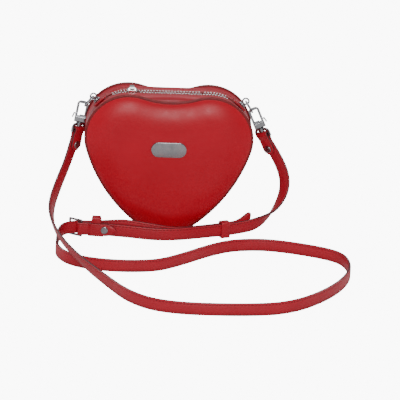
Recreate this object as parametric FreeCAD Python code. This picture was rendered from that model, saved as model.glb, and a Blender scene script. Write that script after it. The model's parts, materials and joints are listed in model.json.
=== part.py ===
"""Heart shaped leather purse: zip top, snap hooks, buckled strap. Millimetres, front faces -Y."""

import FreeCAD
import Part
import math
import os

V = FreeCAD.Vector

# Heart outline of the seam, drawn with tangent arcs
heart_width = 160.0
heart_height = 138.0
lobe_radius = 41.0
side_radius = 147.0
tip_radius = 35.0
notch_depth = 6.0
tip_flat_depth = 0.5
along_angle = 25.0

# Depth, leather and filling
seam_depth = 44.0
front_crown = 9.5
back_crown = 5.5
crown_run = 26.0
crown_steps = 5
leather = 1.8
layer_gap = 0.15
welt_depth = 2.5
welt_proud = 1.0
welt_inside = 2.4
lining = 0.6
pocket_width = 62.0
pocket_height = 46.0
pocket_bottom = 48.0
pocket_leather = 0.8

# Zip
zip_end_angle = 52.0
zip_drop = 0.6
slot_half = 6.5
strip_leather = 1.6
tape_thick = 0.8
tape_drop = 0.5
tape_gap = 0.2
tooth_pitch = 2.9
tooth_width = 1.2
tooth_height = 2.4
tooth_back = 1.9
tooth_front = 0.9
tooth_seat = 0.1
flap_margin = 8.0
flap_root = 18.0
flap_gap = 0.3
slider_length = 10.0
slider_half = 4.6
slider_plate = 0.8
slider_lip = 1.0
slider_gap = 0.3
pull_length = 9.0
pull_width = 5.0
pull_thick = 0.8
pull_bore = 0.7
pull_pin = 0.6
pull_barrel = 0.5
pull_gap = 0.15
round_share = 0.8
stop_size = 2.2

# Badge plate
plate_width = 34.0
plate_height = 15.0
plate_thick = 1.2
plate_centre_z = 88.0
plate_round_share = 0.96
prong_radius = 0.8

# End tabs, studs and links
tab_low_angle = 36.0
tab_high_angle = 57.0
tab_width = 14.0
tab_leather = 1.6
stud_angle = 44.0
stud_base_radius = 3.6
stud_base_thick = 1.4
stud_post_radius = 1.5
stud_post = 1.6
stud_ring_radius = 3.0
stud_wire = 0.9
washer_radius = 4.5
washer_thick = 0.8
link_wire = 0.8
link_inner = 5.4
link_gap = 0.9
left_bar_out = 14.0
left_bar_drop = 34.52
right_bar_out = 19.08
right_bar_drop = 33.85
left_catch_angle = 135.0
right_catch_angle = 100.0

# Snap hooks, along their own axis from the centre of the eye's bar
eye_bar_radius = 1.2
eye_inner_width = 13.0
eye_inner_height = 4.4
eye_wall = 2.0
eye_outer_corner = 4.0
eye_inner_corner = 2.5
eye_boss_radius = 3.2
eye_boss_height = 0.8
swivel_pin_radius = 1.3
swivel_gap = 0.08
swivel_head_radius = 2.2
swivel_head = 1.0
hook_gap = 0.3
block_depth = 5.0
block_height = 6.0
block_corner = 1.2
bail_width = 11.0
bail_height = 15.3
bail_wire = 2.3
shoulder_share = 0.7
gate_gap = 0.3
gate_sweep = 2.0
gate_pin_radius = 0.6
gate_boss_radius = 1.15
lever_reach = 2.8
lever_height = 2.0
lever_drop = 3.8
lever_thick = 1.2
lever_gap = 0.5

# Straps
strap_width = 12.0
strap_thick = 2.4
strap_layer = 0.2
fold_length = 20.0
buckle_fold_length = 34.0
bar_gap = 0.15
fold_thick = 1.5
fold_tip = 3.6
end_straight = 8.0
rivet_radius = 3.7
rivet_cap = 1.1
rivet_shank = 1.3
rivet_round = 0.77
rivet_from_bar = 14.0
buckle_rivet_from_bar = 22.6
stations_per_turn = 10.0
arc_share = 0.45

# Buckle and keepers
buckle_bar = 1.1
buckle_height = 13.0
toe_from_heel = 12.7
prong_wire = 0.9
prong_gap = 0.1
prong_slot_length = 11.0
prong_slot_height = 3.0
keeper_wall = 1.3
keeper_gap = 0.35
keeper_length = 9.0
keeper_round = 1.0
fixed_keeper_from_bar = 14.2
slide_keeper_at = 0.34

# Worked out from the sizes above
half_seam = seam_depth / 2
top_z = heart_height - tip_flat_depth
tip_z = tip_radius - tip_flat_depth
lobe_x = heart_width / 2 - lobe_radius
lobe_z = top_z - lobe_radius
lobe_rise = lobe_radius - notch_depth
notch_radius = (lobe_x ** 2 + lobe_rise ** 2 - lobe_radius ** 2) / (2 * notch_depth)
notch_z = top_z - notch_depth + notch_radius
zip_z = top_z - zip_drop
flap_half = lobe_x - flap_margin
zip_radius = lobe_radius - zip_drop
layer_offset = (strap_thick + strap_layer) / 2
gusset_half = half_seam - welt_depth
inner_radius = lobe_radius - leather
washer_sag = inner_radius - math.sqrt(inner_radius ** 2 - washer_radius ** 2)
lining_inset = leather + washer_sag + washer_thick + 2 * layer_gap
tooth_top = zip_z - tape_drop - tape_thick / 2 + tooth_height / 2
slider_x = -(flap_half + flap_gap + slider_length / 2 + slider_gap)
slider_under = tooth_top + slider_gap
slider_over = slider_under + slider_plate
pin_z = slider_over + pull_bore + pull_barrel + pull_gap
stud_seat = 2 * layer_gap + tab_leather
stud_ring_at = stud_seat + stud_base_thick + stud_post + stud_ring_radius - stud_wire
ring_x = lobe_x + (lobe_radius + stud_ring_at) * math.cos(math.radians(stud_angle))
ring_z = lobe_z + (lobe_radius + stud_ring_at) * math.sin(math.radians(stud_angle))
side = heart_width / 2
eye_top = eye_bar_radius + eye_inner_height + eye_wall
boss_top = eye_top + eye_boss_height
block_low = boss_top + hook_gap
block_top = block_low + block_height
bail_top = block_top + bail_height
shoulder_radius = bail_width / 2 * shoulder_share
pivot_x = bail_width / 2 - bail_wire / 2
pivot_z = block_top + bail_wire / 2 + gate_gap
gate_top = bail_top - bail_wire - gate_gap
prong_bar_radius = buckle_bar + prong_gap + 2 * prong_wire

# Routes of the straps, centre points with the direction of the strap's width at each
left_bar = V(-ring_x - left_bar_out, 0, ring_z - left_bar_drop)
left_tilt = 9.0
left_turn = 45.0
right_bar = V(ring_x + right_bar_out, 0, ring_z - right_bar_drop)
right_tilt = -24.0
right_turn = -37.0
heel_bar = V(-81.5, -40.0, 9.2)
heel_heading = -6.5
buckle_heading = -32.0
slide_run_index = 4
long_route = [
    ((-side - 15.5, -4, 66), (-0.52, -0.76, 0.39)),
    ((-side - 25, -20, 46), (-0.42, -0.55, 0.7)),
    ((-side - 32, -50, 33), (-0.36, -0.4, 0.84)),
    ((-110, -86, 27), (-0.32, 0, 0.95)),
    ((-99, -122, 21), (-0.44, 0, 0.9)),
    ((-82.5, -152, 14), (-0.42, 0, 0.9)),
    ((-63, -181, 8), (-0.2, 0, 0.98)),
    ((-38.5, -229, 6), (0, 0, 1)),
    ((-4.5, -254, 6), (0, 0, 1)),
    ((67, -254, 6), (0, 0, 1)),
    ((111, -243, 6), (0, 0, 1)),
    ((151, -198, 6), (0, 0, 1)),
    ((172, -147, 6), (0, 0, 1)),
    ((174, -104, 6), (0, 0, 1)),
    ((154.5, -85, 6), (0, 0, 1)),
    ((106, -65, 6), (0, 0, 1)),
    ((76, -65, 6), (0, 0, 1)),
    ((49, -76.5, 6), (0, 0, 1)),
    ((1, -127.5, 6), (0, 0, 1)),
    ((-22, -138.5, 6), (0, 0, 1)),
    ((-60, -139.5, 6), (0, 0, 1)),
    ((-92, -127, 6), (0, 0, 1)),
    ((-105.5, -102, 6), (0, 0, 1)),
    ((-105, -80, 7), (0, 0, 1)),
    ((-104, -62, 8.3), (0, 0, 1)),
    ((-100.2, -45.5, 9.2), (0, 0, 1)),
    ((-91.5, -37.5, 9.2), (0, 0, 1)),
    ((-81, -35.1, 9.2), (0, 0, 1)),
    ((-70.1, -37.2, 9.2), (0, 0, 1)),
    ((-54.5, -39, 9.2), (0, 0, 1)),
    ((-39, -40.9, 9.2), (0, 0, 1)),
    ((-14, -43.6, 8.2), (0, 0, 1)),
    ((7.4, -42.2, 7.9), (0, 0, 1)),
    ((29, -35.3, 7.9), (0, 0, 1)),
    ((65, -21.2, 7.9), (0, 0, 1)),
    ((80, -14.5, 7.9), (0, 0, 1)),
]
short_route = [
    ((side + 30.5, -3, 70), (0.72, -0.62, 0.3)),
    ((side + 36.5, -9, 48), (0.62, -0.5, 0.6)),
    ((side + 27.5, -16, 27), (0.6, -0.3, 0.74)),
    ((90, -20, 13), (0.62, -0.1, 0.78)),
    ((72, -21.5, 7.9), (0, 0, 1)),
    ((30, -38, 7.9), (0, 0, 1)),
    ((8, -45, 7.9), (0, 0, 1)),
    ((-14, -46.5, 8.2), (0, 0, 1)),
    ((-39.3, -43.9, 9.2), (0, 0, 1)),
]


def arc(p, q, r):
    """Arc edge from p through q to r."""
    return Part.Arc(p, q, r).toShape()


def on_circle(cx, cz, radius, degrees, y):
    """Point of a circle in a plane of constant y."""
    a = math.radians(degrees)
    return V(cx + radius * math.cos(a), y, cz + radius * math.sin(a))


def angle_to(cx, cz, x, z):
    """Direction from a centre to a point, in degrees."""
    return math.degrees(math.atan2(z - cz, x - cx))


def side_centre():
    """Centre of the right side's arc, tangent inside to the lobe and the tip."""
    a = side_radius - lobe_radius
    b = side_radius - tip_radius
    dx = -lobe_x
    dz = tip_z - lobe_z
    gap = math.hypot(dx, dz)
    along = (a * a - b * b + gap * gap) / (2 * gap)
    off = math.sqrt(a * a - along * along)
    return lobe_x + (along * dx + off * dz) / gap, lobe_z + (along * dz - off * dx) / gap


side_x, side_z = side_centre()
notch_angle = angle_to(lobe_x, lobe_z, 0, notch_z)
side_top_angle = angle_to(side_x, side_z, lobe_x, lobe_z)
side_low_angle = angle_to(side_x, side_z, 0, tip_z)


def arc_on(cx, cz, radius, start, end, y):
    """Arc edge on a circle between two angles in degrees."""
    middle = (start + end) / 2
    return arc(
        on_circle(cx, cz, radius, start, y),
        on_circle(cx, cz, radius, middle, y),
        on_circle(cx, cz, radius, end, y),
    )


def heart_wire(inset, y):
    """Closed heart outline, moved inwards by inset, in the plane y."""
    r_lobe = lobe_radius - inset
    r_side = side_radius - inset
    r_tip = tip_radius - inset
    edges = [
        arc_on(0, notch_z, notch_radius + inset, 180 + notch_angle, 360 - notch_angle, y),
        arc_on(lobe_x, lobe_z, r_lobe, notch_angle, side_top_angle, y),
        arc_on(side_x, side_z, r_side, side_top_angle, side_low_angle, y),
        arc_on(0, tip_z, r_tip, side_low_angle, -180 - side_low_angle, y),
        arc_on(-side_x, side_z, r_side, 180 - side_low_angle, 180 - side_top_angle, y),
        arc_on(-lobe_x, lobe_z, r_lobe, 180 - side_top_angle, 180 - notch_angle, y),
    ]
    return Part.Wire(Part.__sortEdges__(edges))


def heart_plate(inset, y_low, y_high):
    """Heart shaped plate between two planes."""
    face = Part.Face(heart_wire(inset, y_low))
    return face.extrude(V(0, y_high - y_low, 0))


def heart_ring(inset_out, inset_in, y_low, y_high):
    """Heart shaped ring between two insets."""
    return heart_plate(inset_out, y_low, y_high).cut(heart_plate(inset_in, y_low - 1, y_high + 1))


def crown_solid(inset, crown, y_seam, out, skirt):
    """Puffed heart: a quarter-round edge up to the crown; out is -1 for the front and 1 for the back."""
    wires = []
    if skirt:
        wires.append(heart_wire(inset, y_seam - out * skirt))
    for i in range(crown_steps + 1):
        t = math.radians(90.0 * i / crown_steps)
        run = crown_run * (1 - math.cos(t))
        wires.append(heart_wire(inset + run, y_seam + out * crown * math.sin(t)))
    return Part.makeLoft(wires, True, True)


def edges_along(shape, axis):
    """Edges of a shape that run along one axis, named x, y or z."""
    found = []
    for edge in shape.Edges:
        direction = edge.tangentAt(edge.FirstParameter)
        if abs(getattr(direction, axis)) > math.cos(math.radians(along_angle)):
            found.append(edge)
    return found


def box_between(x0, x1, y0, y1, z0, z1):
    """Box given by its limits."""
    return Part.makeBox(x1 - x0, y1 - y0, z1 - z0, V(x0, y0, z0))


def flat_tip(shape):
    """Cut the tip flat at z = 0, where the purse stands."""
    return shape.cut(box_between(-heart_width, heart_width, -heart_width, heart_width, -heart_width, 0))


def panel(out, crown):
    """Leather shell of one face of the purse."""
    y_seam = out * half_seam
    outer = crown_solid(0, crown, y_seam, out, 0)
    inner = crown_solid(leather, crown - leather, y_seam, out, 1)
    return outer.cut(inner)


def foam(out, crown):
    """Filling behind one panel."""
    return crown_solid(leather + layer_gap, crown - leather - layer_gap, out * half_seam, out, 0)


def welt(out):
    """Edge-painted seam between a panel and the gusset."""
    y = sorted((out * half_seam, out * gusset_half))
    return heart_ring(-welt_proud, welt_inside, y[0], y[1])


def lining_plate(out):
    """Lining of one face, inside its welt."""
    y = sorted((out * half_seam, out * (half_seam - lining)))
    return heart_plate(welt_inside + layer_gap, y[0], y[1])


def top_region(angle):
    """Prism over the zip, between rays at this angle from both lobe centres."""
    reach = 3 * lobe_radius
    inner = on_circle(lobe_x, lobe_z, lobe_radius / 2, angle, -seam_depth)
    outer = on_circle(lobe_x, lobe_z, reach, angle, -seam_depth)
    top = V(outer.x, -seam_depth, outer.z + reach)
    right = [inner, outer, top]
    left = [V(-p.x, p.y, p.z) for p in reversed(right)]
    return Part.Face(Part.makePolygon(right + left + [inner])).extrude(V(0, 2 * seam_depth, 0))


def gusset_layer(inset_out, inset_in):
    """Band round the sides and the tip, below the zip's ends."""
    ring = heart_ring(inset_out, inset_in, -gusset_half, gusset_half)
    return ring.cut(top_region(zip_end_angle - flap_gap))


def line(p, q):
    """Straight edge."""
    return Part.LineSegment(p, q).toShape()


def seam_top(inset, y):
    """Upper outline of the seam, from the right zip end to the left one, in five edges."""
    radius = lobe_radius - inset
    return [
        arc_on(lobe_x, lobe_z, radius, zip_end_angle, 90, y),
        arc_on(lobe_x, lobe_z, radius, 90, notch_angle, y),
        arc_on(0, notch_z, notch_radius + inset, 180 + notch_angle, 360 - notch_angle, y),
        arc_on(-lobe_x, lobe_z, radius, 180 - notch_angle, 90, y),
        arc_on(-lobe_x, lobe_z, radius, 90, 180 - zip_end_angle, y),
    ]


def zip_line(inset, y):
    """Line of the zip: flat across the top, round the lobes at its ends, in the same five edges."""
    radius = zip_radius - inset
    z = lobe_z + radius
    notch_x = on_circle(lobe_x, lobe_z, lobe_radius, notch_angle, y).x
    return [
        arc_on(lobe_x, lobe_z, radius, zip_end_angle, 90, y),
        line(V(lobe_x, y, z), V(notch_x, y, z)),
        line(V(notch_x, y, z), V(-notch_x, y, z)),
        line(V(-notch_x, y, z), V(-lobe_x, y, z)),
        arc_on(-lobe_x, lobe_z, radius, 90, 180 - zip_end_angle, y),
    ]


def closed_profile(upper, lower):
    """Closed wire from an upper and a lower row of edges that run the same way."""
    first = upper[0].firstVertex(True).Point
    last = upper[-1].lastVertex(True).Point
    low_first = lower[0].firstVertex(True).Point
    low_last = lower[-1].lastVertex(True).Point
    ends = [line(last, low_last), line(low_first, first)]
    return Part.Wire(Part.__sortEdges__(upper + [ends[0]] + lower[::-1] + [ends[1]]))


def strip_whole(out):
    """Leather strip from the seam up to the zip, along the whole top."""
    y_seam = out * gusset_half
    y_zip = out * slot_half
    seam = closed_profile(seam_top(0, y_seam), seam_top(strip_leather, y_seam))
    edge = closed_profile(zip_line(0, y_zip), zip_line(strip_leather, y_zip))
    return Part.makeLoft([seam, edge], True, True)


def flap_zone(out, grow):
    """Block over the part of a strip that folds outwards."""
    y = sorted((out * (flap_root + grow), -out * slot_half))
    half = flap_half + grow
    return box_between(-half, half, y[0], y[1], lobe_z, top_z + lobe_radius)


def tape_whole(out):
    """Woven tape beside the teeth, level with the strip's edge."""
    y = sorted((out * (slot_half - tape_gap), out * (tooth_back + tooth_seat)))
    profile = closed_profile(zip_line(tape_drop, y[0]), zip_line(tape_drop + tape_thick, y[0]))
    return Part.Face(profile).extrude(V(0, y[1] - y[0], 0))


def tooth(out):
    """One metal tooth at the origin, pointing over the zip's middle."""
    y = sorted((out * tooth_back, -out * tooth_front))
    body = box_between(-tooth_width / 2, tooth_width / 2, y[0], y[1], -tooth_height / 2, tooth_height / 2)
    return body.makeFillet(tooth_width / 4, edges_along(body, "x"))


def tooth_places(out):
    """Places along the zip, counted from its middle, for one row of teeth."""
    arc_length = math.radians(90 - zip_end_angle) * zip_radius
    reach = lobe_x + arc_length - 2 * tooth_pitch - stop_size
    shift = tooth_pitch / 4 * (1 if out < 0 else -1)
    count = int(reach / tooth_pitch)
    return [i * tooth_pitch + shift for i in range(-count, count + 1)]


def placed_on_zip(shape, s, depth):
    """Copy of a shape moved to the place s along the zip, depth below its surface."""
    copy = shape.copy()
    if abs(s) <= lobe_x:
        copy.translate(V(s, 0, zip_z - depth))
        return copy
    sign = 1 if s > 0 else -1
    turn = math.degrees((abs(s) - lobe_x) / zip_radius)
    copy.translate(V(sign * lobe_x, 0, lobe_z + zip_radius - depth))
    copy.rotate(V(sign * lobe_x, 0, lobe_z), V(0, 1, 0), sign * turn)
    return copy


def teeth(out, on_flap):
    """Row of teeth, either on the folding part or on the fixed ends."""
    depth = tape_drop + tape_thick / 2
    one = tooth(out)
    margin = tooth_width / 2
    kept = []
    for s in tooth_places(out):
        if on_flap and abs(s) < flap_half - margin:
            kept.append(placed_on_zip(one, s, depth))
        if not on_flap and abs(s) > flap_half + flap_gap + margin:
            kept.append(placed_on_zip(one, s, depth))
    return Part.makeCompound(kept)


def zip_stops():
    """Metal stops that close both ends of the chain."""
    arc_length = math.radians(90 - zip_end_angle) * zip_radius
    s = lobe_x + arc_length - stop_size
    width = 2 * tooth_back
    half = stop_size / 2
    high = tooth_height / 2
    body = box_between(-half, half, -width / 2, width / 2, -high, high)
    depth = tape_drop + tape_thick / 2
    return Part.makeCompound([placed_on_zip(body, side * s, depth) for side in (-1, 1)])


def zip_slider():
    """Slider that rides on the chain, with lips beside the teeth and a bridge for its pull."""
    x0 = slider_x - slider_length / 2
    x1 = slider_x + slider_length / 2
    lip_bottom = zip_z - tape_drop + slider_gap
    plate = box_between(x0, x1, -slider_half, slider_half, slider_under, slider_over)
    corner = slider_length / 4
    plate = plate.makeFillet(corner, edges_along(plate, "z"))
    inner = slider_half - slider_lip
    lips = box_between(x0 + corner, x1 - corner, -slider_half, slider_half, lip_bottom, slider_over)
    lips = lips.cut(box_between(x0, x1, -inner, inner, lip_bottom - 1, slider_under))
    left_ear = slider_x - pull_width / 2 - slider_lip
    right_ear = slider_x + pull_width / 2
    ear_low = slider_over - slider_plate / 2
    pin = Part.makeCylinder(pull_pin, pull_width + 2 * slider_lip, V(left_ear, 0, pin_z), V(1, 0, 0))
    ears = [
        box_between(x, x + slider_lip, -pull_pin, pull_pin, ear_low, pin_z + pull_pin)
        for x in (left_ear, right_ear)
    ]
    return plate.fuse([lips, pin] + ears).removeSplitter()


def zip_pull():
    """Plain pull that lies to the rear and swings on the slider's pin."""
    half = pull_width / 2 - slider_gap
    barrel = Part.makeCylinder(pull_bore + pull_barrel, 2 * half, V(slider_x - half, 0, pin_z), V(1, 0, 0))
    thick = pull_thick / 2
    tongue = box_between(slider_x - half, slider_x + half, 0, pull_length, pin_z - thick, pin_z + thick)
    rounded = [e for e in edges_along(tongue, "z") if e.CenterOfMass.y > pull_length / 2]
    tongue = tongue.makeFillet(half * round_share, rounded)
    bore = Part.makeCylinder(pull_bore, 4 * half, V(slider_x - 2 * half, 0, pin_z), V(1, 0, 0))
    return barrel.fuse(tongue).cut(bore).removeSplitter()


def badge_plate():
    """Bare metal plate on the front, with two prongs through the leather."""
    front = -half_seam - front_crown
    x = plate_width / 2
    z = plate_height / 2
    plate = box_between(-x, x, front - plate_thick, front, plate_centre_z - z, plate_centre_z + z)
    plate = plate.makeFillet(z * plate_round_share, edges_along(plate, "y"))
    rim = [e for e in plate.Edges if e.CenterOfMass.y < front - plate_thick / 2]
    plate = plate.makeFillet(plate_thick / 2, rim)
    return plate.fuse([badge_prong(side, front) for side in (-1, 1)])


def badge_prong(side, front):
    """Prong behind the badge plate, as long as the leather is thick."""
    x = side * plate_width / 4
    return Part.makeCylinder(prong_radius, leather, V(x, front, plate_centre_z), V(0, 1, 0))


def pierced_front(shape):
    """Front leather with the badge plate's two holes."""
    front = -half_seam - front_crown
    for side in (-1, 1):
        start = V(side * plate_width / 4, front - leather, plate_centre_z)
        hole = Part.makeCylinder(prong_radius + layer_gap, 3 * leather, start, V(0, 1, 0))
        shape = shape.cut(hole)
    return shape


def slip_pocket():
    """Slip pocket on the back lining, sewn along three sides."""
    y = half_seam - lining
    depth = 2 * pocket_leather
    half = pocket_width / 2
    mouth = pocket_bottom + pocket_height
    wall = pocket_leather
    outer = box_between(-half, half, y - depth, y, pocket_bottom, mouth)
    inner = box_between(-half + wall, half - wall, y - wall, y + wall, pocket_bottom + wall, mouth + wall)
    return outer.cut(inner)


def mirrored(shape):
    """Mirror image in the plane x = 0."""
    return shape.mirror(V(0, 0, 0), V(1, 0, 0))


def end_tab():
    """Leather tab over the right end of the zip, with the stud's hole."""
    outer = lobe_radius + layer_gap
    y = -tab_width / 2
    upper = [arc_on(lobe_x, lobe_z, outer + tab_leather, tab_low_angle, tab_high_angle, y)]
    lower = [arc_on(lobe_x, lobe_z, outer, tab_low_angle, tab_high_angle, y)]
    tab = Part.Face(closed_profile(upper, lower)).extrude(V(0, tab_width, 0))
    return tab.cut(stud_bore())


def stud_axis():
    """Outward direction of the right stud."""
    return on_circle(0, 0, 1, stud_angle, 0)


def stud_point(distance):
    """Point on the right stud's axis, counted from the lobe's seam line."""
    return V(lobe_x, 0, lobe_z) + stud_axis() * (lobe_radius + distance)


def stud_bore():
    """Cylinder of the hole that the right stud's shank goes through."""
    return Part.makeCylinder(stud_post_radius + layer_gap, 2 * lobe_radius, V(lobe_x, 0, lobe_z), stud_axis())


def stud():
    """Metal stud on the right tab, with an eye for the link."""
    axis = stud_axis()
    base = Part.makeCylinder(stud_base_radius, stud_base_thick, stud_point(stud_seat), axis)
    base = base.makeFillet(stud_base_thick / 3, [base.Edges[0], base.Edges[2]])
    neck = Part.makeCylinder(stud_post_radius, stud_post + stud_base_thick, stud_point(stud_seat), axis)
    shank_length = stud_seat + leather + washer_sag + washer_thick + layer_gap
    shank = Part.makeCylinder(stud_post_radius, shank_length, stud_point(stud_seat), axis * -1)
    ring = Part.makeTorus(stud_ring_radius, stud_wire, stud_point(stud_ring_at), V(0, 1, 0))
    return base.fuse([neck, shank, ring])


def stud_washer():
    """Washer inside the gusset, behind the right stud."""
    low = stud_point(-leather - washer_sag - layer_gap - washer_thick)
    disc = Part.makeCylinder(washer_radius, washer_thick, low, stud_axis())
    return disc.cut(stud_bore())


def stud_hole(shape):
    """Cut both studs' holes out of a band."""
    return shape.cut(stud_bore()).cut(mirrored(stud_bore()))


def link(ring_centre, catch, hook_run):
    """Oval link from a stud's eye to the place where a hook's bail catches it, in a plane along Y."""
    along = (catch - ring_centre).normalize()
    clear = (bail_wire / 2 + link_gap + link_wire) / along.cross(hook_run).Length
    radius = link_inner / 2 + link_wire
    y = V(0, 1, 0)
    a = catch + along * (clear - radius)
    b = ring_centre + along * radius
    edges = [
        line(b + y * radius, a + y * radius),
        arc(a + y * radius, a + along * radius, a - y * radius),
        line(a - y * radius, b - y * radius),
        arc(b - y * radius, b - along * radius, b + y * radius),
    ]
    circle = Part.Wire(Part.makeCircle(link_wire, b + y * radius, along))
    return Part.Wire(edges).makePipeShell([circle], True, False)


def swivel_eye():
    """D-shaped eye that the strap's end goes round, with a boss for the hook's swivel pin."""
    x = eye_inner_width / 2
    outer = box_between(-x - eye_wall, x + eye_wall, -eye_wall / 2, eye_wall / 2, 0, eye_top)
    corners = [e for e in edges_along(outer, "y") if e.CenterOfMass.z > eye_top / 2]
    outer = outer.makeFillet(eye_outer_corner, corners)
    inner = box_between(-x, x, -eye_wall, eye_wall, -eye_wall, eye_top - eye_wall)
    corners = [e for e in edges_along(inner, "y") if e.CenterOfMass.z > 0]
    inner = inner.makeFillet(eye_inner_corner, corners)
    up = V(0, 0, 1)
    bar_length = eye_inner_width + 2 * eye_wall
    bar = Part.makeCylinder(eye_bar_radius, bar_length, V(-bar_length / 2, 0, 0), V(1, 0, 0))
    boss = Part.makeCylinder(eye_boss_radius, eye_boss_height + eye_wall, V(0, 0, eye_top - eye_wall), up)
    bore_low = V(0, 0, eye_bar_radius + swivel_head)
    bore = Part.makeCylinder(swivel_pin_radius + swivel_gap, 4 * eye_top, bore_low, up)
    return outer.cut(inner).fuse([bar, boss]).cut(bore).removeSplitter()


def hook_body():
    """Hook body: swivel pin with its head, block and bail, open on the side of the gate."""
    up = V(0, 0, 1)
    head_z = eye_top - eye_wall - hook_gap - swivel_head
    head = Part.makeCylinder(swivel_head_radius, swivel_head, V(0, 0, head_z), up)
    pin = Part.makeCylinder(swivel_pin_radius, block_low - head_z, V(0, 0, head_z), up)
    half = bail_width / 2
    wire = bail_wire / 2
    block = box_between(-half, half, -block_depth / 2, block_depth / 2, block_low, block_top)
    block = block.makeFillet(block_corner, edges_along(block, "x") + edges_along(block, "z"))
    bail = box_between(-half, half, -wire, wire, block_top - wire, bail_top)
    corners = [e for e in edges_along(bail, "y") if e.CenterOfMass.z > block_top]
    bail = bail.makeFillet(shoulder_radius, corners)
    inner = half - bail_wire
    hollow = box_between(-inner, inner, -bail_wire, bail_wire, block_top + wire, bail_top - bail_wire)
    corners = [e for e in edges_along(hollow, "y") if e.CenterOfMass.z > block_top + bail_wire]
    hollow = hollow.makeFillet(inner * shoulder_share, corners)
    low = pivot_z - gate_boss_radius - gate_gap
    mouth = box_between(inner - gate_sweep, half + bail_wire, -bail_wire, bail_wire, low, gate_top + gate_gap)
    body = head.fuse([pin, block, bail.cut(hollow).cut(mouth)])
    ear_left = pivot_x - gate_boss_radius
    ear_right = pivot_x + gate_boss_radius
    ear = box_between(ear_left, ear_right, -wire, wire, block_top - bail_wire, pivot_z + gate_boss_radius)
    ear = ear.cut(box_between(ear_left, ear_right, -wire / 2, wire / 2, low, bail_top))
    hole = Part.makeCylinder(gate_pin_radius, 2 * bail_wire, V(pivot_x, -bail_wire, pivot_z), V(0, 1, 0))
    return body.fuse(ear).cut(hole).removeSplitter()


def gate_pin():
    """Pin that the gate turns on."""
    return Part.makeCylinder(gate_pin_radius, bail_wire, V(pivot_x, -bail_wire / 2, pivot_z), V(0, 1, 0))


def gate():
    """Gate of the hook with its boss, tongue and thumb lever."""
    half_y = bail_wire / 4 - swivel_gap
    wire = bail_wire / 2
    left = pivot_x - gate_boss_radius
    right = pivot_x + gate_boss_radius
    boss = Part.makeCylinder(gate_boss_radius, 2 * half_y, V(pivot_x, -half_y, pivot_z), V(0, 1, 0))
    stem = box_between(left, right, -half_y, half_y, pivot_z, pivot_z + 2 * gate_boss_radius)
    low = pivot_z + gate_boss_radius + 2 * gate_gap
    tongue = box_between(left, right, -wire, wire, low, gate_top)
    inner = bail_width / 2 + lever_gap
    outer = bail_width / 2 + lever_reach
    lever_top = pivot_z + lever_height / 2
    lever_low = pivot_z - lever_drop
    neck = box_between(pivot_x, inner + lever_thick / 2, -half_y, half_y, pivot_z, lever_top)
    corners = [
        V(inner, -wire, lever_top),
        V(inner + lever_thick, -wire, lever_top),
        V(outer, -wire, lever_low),
        V(outer - lever_thick, -wire, lever_low),
    ]
    lever = Part.Face(Part.makePolygon(corners + corners[:1])).extrude(V(0, bail_wire, 0))
    lever = lever.makeFillet(lever_thick / 3, edges_along(lever, "y"))
    hole_radius = gate_pin_radius + swivel_gap
    hole = Part.makeCylinder(hole_radius, 2 * bail_wire, V(pivot_x, -bail_wire, pivot_z), V(0, 1, 0))
    return boss.fuse([stem, tongue, neck, lever]).cut(hole).removeSplitter()


def hook_place(bar, tilt, turn):
    """Placement of a hook: turned about its axis, tilted in the plane of the photo, set on its bar."""
    spin = FreeCAD.Rotation(V(0, 0, 1), turn)
    lean = FreeCAD.Rotation(V(0, 1, 0), tilt)
    return FreeCAD.Placement(bar, lean.multiply(spin))


def hook_catch(angle):
    """Place and direction of the bail's wire on its inner shoulder, in the hook's own frame."""
    bend = shoulder_radius - bail_wire / 2
    centre_x = shoulder_radius - bail_width / 2
    place = on_circle(centre_x, bail_top - shoulder_radius, bend, angle, 0)
    return place, on_circle(0, 0, 1, angle - 90, 0)


def put(shape, place):
    """Copy of a shape at a placement."""
    copy = shape.copy()
    copy.Placement = place
    return copy


def unit(vector):
    """Vector of length one."""
    return V(vector).normalize()


def rounded_route(points):
    """Runs joined by tangent arcs: a list of (centre, direction, place along the points)."""
    found = [(points[0], unit(points[1] - points[0]), 0.0)]
    radii = []
    for i in range(1, len(points) - 1):
        before = points[i] - points[i - 1]
        after = points[i + 1] - points[i]
        turn = before.getAngle(after)
        cut = arc_share * min(before.Length, after.Length)
        radii.append(cut / math.tan(turn / 2))
        start = points[i] - unit(before) * cut
        axis = unit(before.cross(after))
        centre = start + axis.cross(unit(before)) * radii[-1]
        steps = max(2, math.ceil(math.degrees(turn) / stations_per_turn))
        for k in range(steps + 1):
            spin = FreeCAD.Rotation(axis, math.degrees(turn) * k / steps)
            share = (2 * k / steps - 1) * arc_share
            found.append((centre + spin.multVec(start - centre), spin.multVec(unit(before)), i + share))
    found.append((points[-1], unit(points[-1] - points[-2]), len(points) - 1.0))
    return found, radii


def width_at(widths, place):
    """Direction of the strap's width at a place along the points."""
    i = min(int(place), len(widths) - 2)
    share = place - i
    return widths[i] * (1 - share) + widths[i + 1] * share


def strap_section(centre, direction, width):
    """Rectangle across the strap."""
    w = unit(width - direction * width.dot(direction)) * (strap_width / 2)
    n = unit(direction.cross(w)) * (strap_thick / 2)
    return Part.makePolygon([centre + w + n, centre + w - n, centre - w - n, centre - w + n, centre + w + n])


def strap_run(name, points, widths):
    """Flat strap along a route, and its length."""
    stations, radii = rounded_route(points)
    sections = [strap_section(c, d, width_at(widths, s)) for c, d, s in stations]
    solid = Part.makeLoft(sections, True, True)
    length = sum((b[0] - a[0]).Length for a, b in zip(stations, stations[1:]))
    expected = length * strap_width * strap_thick
    print(name, "length", round(length, 1), "volume share", round(solid.Volume / expected, 4))
    print(name, "radii", [round(r) for r in radii])
    return solid


def end_axes(bar, width, towards):
    """Axes of a folded strap end: along the strap, across its layers, along its width."""
    w = unit(width)
    along = towards - bar
    e = unit(along - w * along.dot(w))
    return e, unit(w.cross(e)), w


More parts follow.
